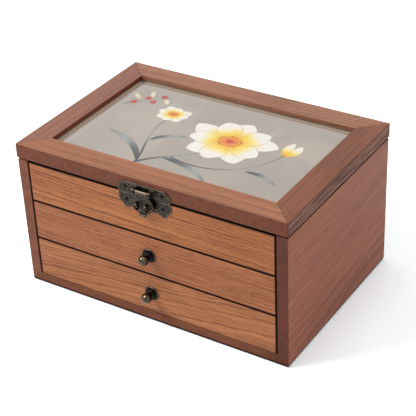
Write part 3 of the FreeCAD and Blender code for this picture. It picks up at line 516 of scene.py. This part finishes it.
def dress_lid():
    # The dark band at the rails' lower edge is painted shade of the gap under the lid.
    rail = dict(
        light=srgb(149, 97, 68), dark=srgb(94, 51, 34), pore=srgb(67, 34, 22), contrast=0.7, mitre=41.5,
        edge_shadow=(124.6, 125.2), edges="Y", edge=(93, 47, 29), edge_light=(104, 56, 34), beyond=80,
        saw_grain=(200, 400), rub=0.3,
    )
    dress(["lid_front_rail"], wood("rail_front", "X", pitch=3.4, heart=(-40, 90), seed=1.0, **rail))
    rail.update(light=srgb(146, 100, 74), dark=srgb(86, 49, 37))
    dress(["lid_back_rail"], wood("rail_back", "X", pitch=2.6, heart=(30, 100), seed=2.0, **rail))
    rail.update(
        light=srgb(133, 88, 70), dark=srgb(86, 51, 40), edges="X", beyond=120, saw_grain=(40, 1500),
        well=(114, 49, 29),
    )
    dress(["lid_left_rail"], wood("rail_left", "Y", pitch=3.4, heart=(-90, 90), seed=3.0, **rail))
    rail.update(
        light=srgb(119, 70, 47), dark=srgb(74, 40, 29), edge=(72, 39, 29), edge_light=(136, 92, 73), rub=0.6,
        saw_grain=(40, 1000), streaks=1.4,
    )
    dress(["lid_right_rail"], wood("rail_right", "Y", pitch=3.0, heart=(190, 80), seed=4.0, **rail))
    bead = dict(
        light=srgb(124, 81, 56), dark=srgb(88, 52, 36), pore=srgb(61, 34, 24), pitch=3.0, heart=(-60, 60)
    )
    dress(["lid_front_bead", "lid_back_bead"], wood("bead_long", "X", seed=14.0, **bead))
    dress(["lid_left_bead", "lid_right_bead"], wood("bead_short", "Y", seed=15.0, **bead))


def dress_case():
    # The dark band at the boards' foot is a painted contact shadow.
    side = dict(
        light=srgb(160, 96, 70), dark=srgb(101, 54, 38), pore=srgb(70, 36, 24), pitch=4.2, contrast=0.55,
        streaks=0.6, pores=1.1, gloss=0.12, edge_shadow=(2.4, 2.9), pocket=(120.4, -78), edges="YZ",
        edge=(108, 67, 52), saw_grain=(700, 90),
    )
    # The sides also carry painted shade inside the gaps beside the drawers.
    dress(["left_side"], wood("side_left", "Y", heart=(-60, 60), seed=5.0, lean=0.2, **side))
    side.update(edge=(86, 48, 38), contrast=0.62, pores=0.7, streaks=0.9)
    dress(["right_side"], wood("side_right", "Y", heart=(70, -10), seed=6.0, lean=-0.14, **side))
    side.update(edge=(104, 62, 44), corner=(86, 46, 34), pocket=None, saw_grain=(60, 300))
    dress(["bottom_panel"], wood("base_board", "X", heart=(40, -60), seed=7.0, **side))
    side.update(edges="XZ")
    dress(["back_panel"], wood("back_board", "X", heart=(160, 40), seed=8.0, **side))


def dress_fronts():
    # The fronts' sawn edges are coloured darker than their stain: edge stain together with painted shade of
    # the gaps between the fronts.
    front = dict(
        light=srgb(173, 109, 66), dark=srgb(90, 43, 25), pore=srgb(61, 27, 15), pitch=2.4, heart=(-52, 50),
        lean=0.03, wave=3.2, contrast=0.88, streaks=1.05, gloss=0.14, edges="XZ", edge=(50, 25, 17),
    )
    panel = fronts_edges("top_front_panel")
    dress(["top_front_panel"], wood("front_top", "X", seed=9.0, panel=panel, **front))
    front.update(
        light=srgb(168, 106, 69), dark=srgb(94, 46, 31), pitch=1.9, heart=(-40, 0), lean=0.0, wave=2.4,
        contrast=0.74, pores=1.4, edge=(66, 35, 24),
    )
    panel = fronts_edges("upper_drawer_front")
    dress(["upper_drawer_front"], wood("front_upper", "X", seed=10.0, panel=panel, **front))
    front.update(
        light=srgb(178, 116, 75), dark=srgb(94, 48, 30), pitch=2.5, heart=(-72, 4), lean=-0.12, wave=2.6,
        contrast=0.88, pores=1.0,
    )
    panel = fronts_edges("lower_drawer_front")
    dress(["lower_drawer_front"], wood("front_lower", "X", seed=11.0, panel=panel, **front))


def dress_inside():
    inner = dict(
        light=srgb(183, 153, 115), dark=srgb(156, 122, 86), pore=srgb(124, 92, 61), pitch=3.0, contrast=0.5
    )
    drawers = [name for name in nodes if name.startswith(("upper_drawer", "lower_drawer"))]
    boards = [name for name in drawers if name.endswith(("side", "back"))]
    dress(boards, wood("drawer_wood", "Y", heart=(-40, -60), seed=12.0, **inner))
    sheets = ["tray_floor", "drawer_shelf", "upper_drawer_bottom", "lower_drawer_bottom"]
    dress(sheets, wood("thin_board", "X", heart=(-40, -160), seed=13.0, **inner))
    dress([name for name in nodes if name.startswith("tray_") and name != "tray_floor"], VELVET)


def dress_metal_and_glass():
    dress([name for name in nodes if name.startswith(("hasp", "hinge"))], bronze())
    for drawer in ("upper_drawer", "lower_drawer"):
        low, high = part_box(drawer + "_knob")
        dress([drawer + "_knob"], bronze(drawer + "_bronze", knob_height=(low.z + high.z) / 2))
    # The tack heads are painted near-black as the shade of the holes they sit in.
    tack_hole_shade = plain("tack_hole_shade", srgb(11, 8, 8), 0.8, Specular_IOR_Level=0.1)
    dress(["hasp_upper_tacks", "hasp_lower_tacks"], tack_hole_shade)
    steel = plain("steel", srgb(150, 150, 150), 0.35, Metallic=1.0)
    dress(["bead_brads", "upper_drawer_knob_screw", "lower_drawer_knob_screw"], steel)
    dress(["lid_glass"], clear_glass())


# Meshes
def mesh_piece(name, points, faces, material, body, slot, **values):
    """A mesh of our own, which moves with a body. values are numbers kept at its points for the material."""
    mesh = bpy.data.meshes.new(name)
    mesh.from_pydata(points, [], faces)
    mesh.materials.append(material)
    mesh.polygons.foreach_set("use_smooth", [True] * len(mesh.polygons))
    for key, numbers in values.items():
        mesh.attributes.new(key, "FLOAT", "POINT").data.foreach_set("value", numbers)
    made = bpy.data.objects.new(name, mesh)
    scene.collection.objects.link(made)
    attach(made, body)
    return made


def grid_faces(rows, columns, start=0, closed=False):
    """Faces between the points of a grid, listed row by row. closed joins the last column to the first."""
    faces = []
    for row in range(rows - 1):
        for column in range(columns if closed else columns - 1):
            beside = (column + 1) % columns
            here, there = start + row * columns, start + (row + 1) * columns
            faces.append((here + column, here + beside, there + beside, there + column))
    return faces


def uneven(x, y, size, seed=0.0):
    """A smooth chance value from -1 to 1, with bumps of a size in mm."""
    return noise.noise(Vector((x / (size * MM), y / (size * MM), seed)))


# Cloth that lies flat
CLOTH_GRID = 3.0
SOFT_EDGE = 1.5


def laid_cloth(node, body, material, swell=0.15, slot="velvet"):
    """A felt or velvet sheet in a node's place, with a soft rounded edge and a slightly uneven surface."""
    low, high = (Vector(corner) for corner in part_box(node))
    size = high - low
    columns, rows = (round(each / (CLOTH_GRID * MM)) for each in (size.x, size.y))
    points = []
    for top in (True, False):
        for row in range(rows + 1):
            for column in range(columns + 1):
                x, y = low.x + size.x * column / columns, low.y + size.y * row / rows
                margin = min(x - low.x, high.x - x, y - low.y, high.y - y)
                fall = 0.35 * max(0.0, 1 - margin / (SOFT_EDGE * MM)) ** 2
                drop = size.z * min(0.9, fall + swell * (0.5 + 0.5 * uneven(x, y, 9, 3)))
                points.append((x, y, high.z - drop if top else low.z))
    count = (rows + 1) * (columns + 1)
    upper = grid_faces(rows + 1, columns + 1)
    lower = [tuple(reversed(face)) for face in grid_faces(rows + 1, columns + 1, count)]
    border = [row * (columns + 1) for row in range(rows + 1)]
    border += [rows * (columns + 1) + column for column in range(1, columns + 1)]
    border += [row * (columns + 1) + columns for row in range(rows - 1, -1, -1)]
    border += list(range(columns - 1, 0, -1))
    loop = zip(border, border[1:] + border[:1])
    sides = [(one, other, other + count, one + count) for one, other in loop]
    made = mesh_piece(node + "_cloth", points, upper + lower + sides, material, body, slot)
    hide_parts(node)


# Ring rolls
ROLLS = 4
ROLL_GRID = (48, 40)
ROLL_END = 4.5
BASE_CORNER = 2.0
BASE_LEVELS = ((0.6, 0.0), (0.0, 0.8), (0.0, 9.0), (0.5, 11.0), (2.0, 12.6))


def roll_points(low, high, centre_y, radius, roll):
    """One stuffed roll, which narrows to rounded ends."""
    along, around = ROLL_GRID
    middle, half = (low.x + high.x) / 2, (high.x - low.x) / 2
    centre_z = high.z - radius
    points = []
    for i in range(along + 1):
        reach = math.sin((2 * i / along - 1) * math.pi / 2)
        end = half * (1 - abs(reach))
        crown = 1 - 0.9 * max(0.0, 1 - end / (ROLL_END * MM)) ** 2.4
        x = middle + half * reach
        for j in range(around):
            angle = 2 * math.pi * j / around
            pucker = 0.12 * MM * uneven(x, angle * radius, 6, roll) * crown
            out = (radius - 0.15 * MM) * crown + pucker - 0.05 * MM
            points.append((x, centre_y + out * math.cos(angle), centre_z + out * math.sin(angle)))
    return points


def base_points(low, high):
    """The padded base under the rolls, as rings of 20 points with rounded corners."""
    middle = (low + high) / 2
    corner = BASE_CORNER * MM
    points = []
    for inset, height in BASE_LEVELS:
        west, east = low.x + inset * MM, high.x - inset * MM
        south, north = low.y + inset * MM, high.y - inset * MM
        for turn, (x, y) in enumerate(((west, south), (east, south), (east, north), (west, north))):
            x += math.copysign(corner, middle.x - x)
            y += math.copysign(corner, middle.y - y)
            for step in range(5):
                angle = math.radians(180 + 90 * turn + 22.5 * step)
                place = (x + corner * math.cos(angle), y + corner * math.sin(angle))
                points.append((*place, low.z + height * MM))
    return points


def capped_tube(rows, columns, start):
    """The faces round rings of points, with both ends closed."""
    last = start + (rows - 1) * columns
    caps = [tuple(reversed(range(start, start + columns))), tuple(range(last, last + columns))]
    return grid_faces(rows, columns, start, closed=True) + caps


def ring_rolls(node):
    """Four stuffed velvet rolls side by side on a padded base, pressed against each other."""
    low, high = (Vector(corner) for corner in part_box(node))
    radius = (high.y - low.y) / ROLLS / 2
    along, around = ROLL_GRID
    points, faces = [], []
    for roll in range(ROLLS):
        faces += capped_tube(along + 1, around, len(points))
        points += roll_points(low, high, low.y + radius * (2 * roll + 1), radius, roll)
    faces += capped_tube(len(BASE_LEVELS), 20, len(points))
    points += base_points(low, high)
    made = mesh_piece(node + "_rolls", points, faces, VELVET, "case", "velvet")
    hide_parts(node)


# Embroidery
SILK_TOP = 131.03
OPEN_FLOWER = Vector((22, 7))
SMALL_FLOWER = Vector((-47, 26))


class Stitches:
    """Patches of thread on the silk, gathered into one mesh. Places are x and y in mm, and a patch with a
    higher layer lies over the others. A point keeps its place along and across its patch."""

    LAYER = 0.018
    COLUMNS = 9

    def __init__(self):
        self.points, self.faces, self.along, self.across = [], [], [], []

    def patch(self, spine, widths, layer):
        start = len(self.points)
        for i, point in enumerate(spine):
            ahead = spine[min(i + 1, len(spine) - 1)] - spine[max(i - 1, 0)]
            side = Vector((-ahead.y, ahead.x)).normalized()
            for j in range(self.COLUMNS):
                across = 2 * j / (self.COLUMNS - 1) - 1
                place = point + side * across * widths[i]
                rise = SILK_TOP + self.LAYER * layer + 0.035 * (1 - across * across)
                self.points.append((place.x * MM, place.y * MM, rise * MM))
                self.along.append(i / (len(spine) - 1))
                self.across.append(across)
        self.faces += grid_faces(len(spine), self.COLUMNS, start)

    def petal(self, base, tip, half_width, layer, bow=0.0, widest=1.25, full=0.65, steps=18):
        """A leaf shape from base to tip, bowed sideways by a share of its length."""
        base = Vector(base)
        run = Vector(tip) - base
        aside = Vector((-run.y, run.x)) * bow
        shares = [i / steps for i in range(steps + 1)]
        spine = [base + run * s + aside * 4 * s * (1 - s) for s in shares]
        widths = [half_width * max(0.02, math.sin(math.pi * s**widest)) ** full for s in shares]
        self.patch(spine, widths, layer)

    def stem(self, points, thick, thin, layer, steps=28):
        """A ribbon of thread along a smooth curve with four control points."""
        a, b, c, d = (Vector(point) for point in points)
        shares = [i / steps for i in range(steps + 1)]
        spine = [
            a * (1 - s) ** 3 + b * 3 * s * (1 - s) ** 2 + c * 3 * s * s * (1 - s) + d * s**3 for s in shares
        ]
        widths = [thick + (thin - thick) * s for s in shares]
        self.patch(spine, widths, layer)

    def disc(self, centre, radius, layer, tilt=1.0, frill=0.0, waves=12):
        start = len(self.points)
        rings, around = 7, 48
        for i in range(rings + 1):
            for j in range(around):
                angle = 2 * math.pi * j / around
                reach = radius * i / rings * (1 + frill * math.cos(waves * angle) * i / rings)
                place = Vector(centre) + Vector((math.cos(angle) * reach, math.sin(angle) * reach * tilt))
                rise = SILK_TOP + self.LAYER * layer + 0.03 * (1 - (i / rings) ** 2)
                self.points.append((place.x * MM, place.y * MM, rise * MM))
                self.along.append(i / rings)
                self.across.append(2 * j / around - 1)
        self.faces += grid_faces(rings + 1, around, start, closed=True)

    def finish(self, name, material):
        values = dict(along=self.along, across=self.across)
        return mesh_piece(name, self.points, self.faces, material, "lid", "silk", **values)


def thread(name, stops, outline, count=9.0, ragged=0.16):
    """Silk thread that shades from one colour to the next along each stitch. count is the strands from the
    middle to the edge, and ragged how unevenly the stitches end."""
    paint = Paint(name)
    along = paint.add("Attribute", attribute_name="along").outputs["Fac"]
    across = paint.add("Attribute", attribute_name="across").outputs["Fac"]
    strand = paint.math("MULTIPLY", across, count)
    ends = paint.noise(paint.combined(strand, paint.math("MULTIPLY", along, 0.7), 0.0), 2.2, 2, 0.7)
    shade = paint.math("ADD", along, paint.ranged(ends, 0.3, 0.7, -ragged, ragged))
    colour = paint.ramp(shade, *stops)
    rim = paint.ranged(paint.math("ABSOLUTE", across), 0.88, 1.0, 0, 0.8, smooth=True)
    colour = paint.mixed(rim, colour, outline)
    fibres = paint.combined(paint.math("MULTIPLY", strand, 3.0), paint.math("MULTIPLY", along, 9), 0.0)
    fine = paint.noise(fibres, 3, 2)
    colour = paint.mixed(paint.ranged(fine, 0.35, 0.7, 0, 1), colour, (0.78, 0.76, 0.74), blend="MULTIPLY")
    ridges = paint.math("SINE", paint.math("MULTIPLY", strand, 2 * math.pi * 2.0))
    shader = paint.principled(
        Base_Color=colour,
        Roughness=0.5,
        Specular_IOR_Level=0.3,
        Normal=paint.bumped(paint.math("ADD", ridges, fine), 0.35, 0.05 * MM),
    )
    return paint.finish(shader)


def bloom(petals, centre, radius, count, half_width, tilt, turn):
    """Two rings of petals round a centre, the second ring over the first."""
    for ring in (0, 1):
        for k in range(count // 2):
            angle = math.radians(turn + 360 / count * (2 * k + ring))
            heading = Vector((math.cos(angle), math.sin(angle) * tilt))
            length = radius * (1.0 if ring == 0 else 0.9) * (1 + 0.05 * math.sin(3 * angle))
            wide = half_width * (tilt + (1 - tilt) * abs(math.sin(angle)))
            bow = 0.05 * math.sin(5 * angle + 1)
            base, tip = centre + heading * radius * 0.08, centre + heading * length
            petals.petal(base, tip, wide, 2 + ring * 2 + 0.4 * k, bow)


def greenery():
    green = Stitches()
    green.stem(((-34, -65), (-22, -40), (4, -34), (21, -6)), 1.5, 1.1, 0)
    green.stem(((-30, -58), (-36, -30), (-50, -14), (-47, 14)), 1.1, 0.7, 0)
    green.stem(((-8, -38), (30, -50), (66, -30), (74, 8)), 0.9, 0.6, 0)
    green.petal((-30, -56), (-82, -22), 3.2, 1, bow=-0.12, widest=0.9)
    green.petal((-14, -42), (38, -60), 3.0, 1, bow=0.1, widest=0.9)
    green.petal((-40, -22), (-14, -4), 2.6, 1, bow=0.15, widest=0.9)
    green.petal((58, -30), (90, -38), 2.4, 1, bow=0.12, widest=0.9)
    green.stem(((-98, 22), (-92, 34), (-80, 40), (-66, 50)), 0.6, 0.4, 0)
    slate = (
        (0.0, srgb(25, 29, 33)),
        (0.4, srgb(61, 67, 70)),
        (0.66, srgb(156, 160, 158)),
        (1.0, srgb(38, 43, 47)),
    )
    return green.finish("stems_and_leaves", thread("slate_thread", slate, srgb(20, 24, 27), 3.0, 0.35))


def white_petals():
    petals = Stitches()
    bloom(petals, OPEN_FLOWER, 42, 10, 12.0, 0.84, 12)
    bloom(petals, SMALL_FLOWER, 17, 8, 5.6, 0.8, 40)
    petals.petal((74, 6), (80, 27), 4.6, 2, bow=-0.1, widest=1.0)
    petals.petal((74, 6), (73, 29), 4.2, 3, bow=0.08, widest=1.0)
    white = (
        (0.0, srgb(207, 124, 0)),
        (0.28, srgb(224, 181, 0)),
        (0.5, srgb(224, 210, 124)),
        (0.66, srgb(221, 216, 210)),
    )
    return petals.finish("white_petals", thread("white_thread", white, srgb(174, 156, 149)))


def flower_hearts():
    hearts = Stitches()
    hearts.disc(OPEN_FLOWER, 7.6, 7, 0.84, 0.05, 16)
    hearts.disc(SMALL_FLOWER, 3.4, 7, 0.8, 0.05)
    gold = (
        (0.0, srgb(149, 16, 5)),
        (0.42, srgb(190, 49, 5)),
        (0.66, srgb(217, 124, 0)),
        (0.95, srgb(214, 106, 0)),
    )
    return hearts.finish("flower_hearts", thread("gold_thread", gold, srgb(169, 52, 6), 24.0))


def berries_and_stamens():
    accents = Stitches()
    for centre, radius, count in ((OPEN_FLOWER, 10.2, 22), (SMALL_FLOWER, 4.6, 12)):
        for k in range(count):
            angle = 2 * math.pi * k / count
            heading = Vector((math.cos(angle), math.sin(angle) * 0.82))
            inner = centre + heading * radius * 0.86
            outer = centre + heading * radius * (1.06 + 0.08 * math.sin(5 * angle))
            accents.petal(inner, outer, 0.9, 8, full=0.5, steps=6)
    for place, radius in (((-92, 30), 3.1), ((-84, 42), 2.9), ((-76, 37), 3.0), ((-72, 50), 2.8)):
        accents.disc(place, radius, 3)
    red = ((0.0, srgb(210, 52, 16)), (0.5, srgb(183, 16, 6)), (1.0, srgb(133, 6, 5)))
    return accents.finish("red_berries_and_stamens", thread("red_thread", red, srgb(113, 11, 8), 6.0))


def cream_leaves():
    cream = Stitches()
    for base, tip in (((-88, 37), (-100, 46)), ((-80, 43), (-86, 56)), ((-70, 47), (-62, 38))):
        cream.petal(base, tip, 2.2, 2, bow=0.08, widest=0.95)
    pale = ((0.0, srgb(183, 156, 106)), (0.6, srgb(214, 205, 183)), (1.0, srgb(199, 178, 133)))
    return cream.finish("cream_leaves", thread("cream_thread", pale, srgb(174, 142, 85), 4.0))


def silk_sheet():
    """The silk, with common garden flowers on it: two anemones, a bud and a twig of berries."""
    low, high = (Vector(corner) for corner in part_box("silk_panel"))
    columns, rows = 76, 50
    points = []
    for row in range(rows + 1):
        for column in range(columns + 1):
            x = low.x + (high.x - low.x) * column / columns
            y = low.y + (high.y - low.y) * row / rows
            points.append((x, y, (SILK_TOP - 0.04 + 0.03 * uneven(x, y, 45)) * MM))
    made = mesh_piece("silk_sheet", points, grid_faces(rows + 1, columns + 1), silk(), "lid", "silk")
    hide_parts("silk_panel")
    embroidery = [greenery(), white_petals(), flower_hearts(), berries_and_stamens(), cream_leaves()]


def soft_goods():
    for node in ("ring_pad_left", "ring_pad_right"):
        ring_rolls(node)
    laid_cloth("tray_floor_pad", "case", VELVET)
    for drawer in ("upper_drawer", "lower_drawer"):
        laid_cloth(drawer + "_lining", drawer, VELVET)
    felt = plain("base_cloth", srgb(40, 31, 27), 0.95)
    laid_cloth("base_felt", "case", felt, swell=0.05, slot="felt")
    silk_sheet()


# Embossed hasp
VOXEL = 0.26
TACK_PLACE = 17.6
TACK_HOLE = 1.6
PLATES = (("hasp_upper_plate", "lid", -90.0, 129.2), ("hasp_lower_plate", "case", -89.4, 116.9))
TONGUE_FRONT = -93.1
TONGUE_PATTERN = (109.4, 127.0)


def remeshed(node):
    """A copy of a node's mesh in even small faces, softened as a casting is."""
    copy = bpy.data.objects.new(node + "_cast", nodes[node].data.copy())
    scene.collection.objects.link(copy)
    even = copy.modifiers.new("even", "REMESH")
    even.mode = "VOXEL"
    even.voxel_size = VOXEL * MM
    soft = copy.modifiers.new("soft", "SMOOTH")
    soft.factor = 0.5
    soft.iterations = 2
    done = bpy.data.meshes.new_from_object(copy.evaluated_get(bpy.context.evaluated_depsgraph_get()))
    bpy.data.objects.remove(copy)
    return done


def smooth_step(low, high, value):
    share = min(1.0, max(0.0, (value - low) / (high - low)))
    return share * share * (3 - 2 * share)


def scroll(x, z, rosettes):
    """Height of the cast pattern from 0 to 1: rosettes round the tacks, and leafy scrolls between them."""
    ridge = 1 - min(1.0, abs(uneven(x, z, 2.1, 5.0)) * 4.5)
    leaf = 0.5 + 0.5 * uneven(x, z, 1.1, 8.0)
    height = 0.75 * ridge + 0.3 * leaf
    for centre_x, centre_z in rosettes:
        dx, dz = x / MM - centre_x, z / MM - centre_z
        away = math.hypot(dx, dz)
        if away < 4.6:
            petals = 0.5 + 0.5 * math.cos(8 * math.atan2(dz, dx))
            ring = 0.5 * smooth_step(2.1, 1.8, away) * smooth_step(1.3, 1.6, away)
            flower = max(ring, smooth_step(4.4, 3.4, away) * petals * smooth_step(2.0, 2.4, away))
            height = height * smooth_step(3.4, 4.6, away) + flower * smooth_step(4.6, 3.4, away)
    return min(1.0, height)


def embossed(node, body, front, depth, border, rosettes=(), patterned=None):
    """A cast copy of a hasp piece whose front is pressed back between its border and its raised pattern. The
    raised value is 0 in the hollows, 1 on the pattern, -1 in the tacks' holes, and more above and below the
    heights in patterned, where the piece is painted brightest as a highlight."""
    mesh = remeshed(node)
    vertices = mesh.vertices
    walls = [v.co for v in vertices if abs(v.normal.y) < 0.5 and v.co.y > (front - 0.3) * MM]
    tree = kdtree.KDTree(len(walls))
    for index, place in enumerate(walls):
        tree.insert(Vector((place.x, 0, place.z)), index)
    tree.balance()
    facing = [vertex.normal.y < -0.6 for vertex in vertices]
    raised = []
    for vertex, ahead in zip(vertices, facing):
        place = vertex.co
        height = 0.45
        if ahead and abs(place.y / MM - front) < 0.45:
            edge = tree.find(Vector((place.x, 0, place.z)))[2] / MM
            height = max(smooth_step(border, border * 0.6, edge), scroll(place.x, place.z, rosettes))
            place.y += (1 - height) * depth * MM
        # Painted highlight: above and below the pattern, on the tongue's knuckle and lip, the piece is made
        # brightest.
        if patterned and not patterned[0] * MM <= place.z <= patterned[1] * MM:
            height = 1.3
        # Round each tack the value is -1, where the bronze paints the hole's shade near-black.
        from_tacks = [math.hypot(place.x / MM - x, place.z / MM - z) for x, z in rosettes]
        if ahead and from_tacks and min(from_tacks) < TACK_HOLE:
            height = -1.0
        raised.append(height)
    mesh.materials.clear()
    mesh.materials.append(EMBOSSED)
    mesh.polygons.foreach_set("use_smooth", [True] * len(mesh.polygons))
    mesh.attributes.new("raised", "FLOAT", "POINT").data.foreach_set("value", raised)
    made = bpy.data.objects.new(node + "_cast", mesh)
    scene.collection.objects.link(made)
    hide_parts(node)
    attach(made, body)


def hasp():
    for node, body, front, tack_height in PLATES:
        rosettes = [(-TACK_PLACE, tack_height), (TACK_PLACE, tack_height)]
        embossed(node, body, front, 0.3, 1.1, rosettes)
    embossed("hasp_tongue", "hasp", TONGUE_FRONT, 0.26, 0.8, patterned=TONGUE_PATTERN)


# Camera, floor and light
AIM = Vector((0.0, 1.5 * MM, 70 * MM))
AZIMUTH, ELEVATION, ROLL = (math.radians(angle) for angle in (33.314, 31.93, -2.643))
DISTANCE = 1.10581
SHIFT = (0.76 * MM, -5.669 * MM)
LENS = 110.046
FLOOR_COLOUR = (0.91, 0.95, 0.97, 1)
FLOOR_GLOW = 0.21
STUDIO_LIGHT = 0.57


def camera():
    level = math.cos(ELEVATION)
    back = Vector((math.sin(AZIMUTH) * level, -math.cos(AZIMUTH) * level, math.sin(ELEVATION)))
    right = back.cross(Vector((0, 0, 1))).normalized() * -1
    up = back.cross(right)
    turned_right = right * math.cos(ROLL) + up * math.sin(ROLL)
    turned_up = -right * math.sin(ROLL) + up * math.cos(ROLL)
    data = bpy.data.cameras.new("camera")
    data.lens = LENS
    data.sensor_width = 36
    data.clip_start, data.clip_end = 0.05, 50
    made = bpy.data.objects.new("camera", data)
    scene.collection.objects.link(made)
    turn = Matrix((turned_right, turned_up, back)).transposed()
    place = AIM + back * DISTANCE + turned_right * SHIFT[0] + turned_up * SHIFT[1]
    made.matrix_world = Matrix.Translation(place) @ turn.to_4x4()
    scene.camera = made


def floor():
    """A pale floor that keeps the object's shadow."""
    bpy.ops.mesh.primitive_plane_add(size=12)
    made = bpy.context.object
    made.name = "floor"
    paint = Paint("pale_floor")
    light = paint.add("LightPath")
    seen = paint.math("MAXIMUM", light.outputs["Is Camera Ray"], light.outputs["Is Glossy Ray"])
    seen = paint.math("MAXIMUM", seen, light.outputs["Is Transmission Ray"])
    matte = paint.add("BsdfDiffuse")
    matte.inputs[0].default_value = FLOOR_COLOUR
    glow = paint.add("Emission")
    paint.feed(glow.inputs["Strength"], paint.math("MULTIPLY", seen, FLOOR_GLOW))
    both = paint.add("AddShader")
    paint.feed(both.inputs[0], matte.outputs[0])
    paint.feed(both.inputs[1], glow.outputs[0])
    made.data.materials.append(paint.finish(both.outputs[0]))


def world():
    """Even light on the object, and plain white where the camera, glass or metal sees it."""
    made = bpy.data.worlds.new("studio")
    scene.world = made
    made.use_nodes = True
    tree = made.node_tree
    tree.nodes.clear()
    light = tree.nodes.new("ShaderNodeLightPath")
    seen = tree.nodes.new("ShaderNodeMath")
    seen.operation = "MAXIMUM"
    tree.links.new(light.outputs["Is Camera Ray"], seen.inputs[0])
    tree.links.new(light.outputs["Is Glossy Ray"], seen.inputs[1])
    also = tree.nodes.new("ShaderNodeMath")
    also.operation = "MAXIMUM"
    tree.links.new(seen.outputs[0], also.inputs[0])
    tree.links.new(light.outputs["Is Transmission Ray"], also.inputs[1])
    strength = tree.nodes.new("ShaderNodeMapRange")
    tree.links.new(also.outputs[0], strength.inputs[0])
    strength.inputs["To Min"].default_value = STUDIO_LIGHT
    strength.inputs["To Max"].default_value = 1.0
    back = tree.nodes.new("ShaderNodeBackground")
    back.inputs["Color"].default_value = (1, 1, 1, 1)
    tree.links.new(strength.outputs[0], back.inputs["Strength"])
    output = tree.nodes.new("ShaderNodeOutputWorld")
    tree.links.new(back.outputs[0], output.inputs[0])


def lamp(name, place, size, power):
    data = bpy.data.lights.new(name, "AREA")
    data.shape = "DISK"
    data.size = size
    data.energy = power
    made = bpy.data.objects.new(name, data)
    scene.collection.objects.link(made)
    made.location = place
    made.rotation_mode = "QUATERNION"
    made.rotation_quaternion = (AIM - Vector(place)).to_track_quat("-Z", "Y")


EMBOSSED = bronze("cast_bronze", relief=True)
VELVET = velvet("beige_velvet", srgb(192, 180, 163), srgb(165, 151, 133))

dress_lid()
dress_case()
dress_fronts()
dress_inside()
dress_metal_and_glass()
soft_goods()
hasp()
camera()
floor()
world()
lamp("key", (-1.1, -0.9, 1.7), 0.9, 39)
lamp("top", (0.1, 0.3, 1.9), 1.2, 13)
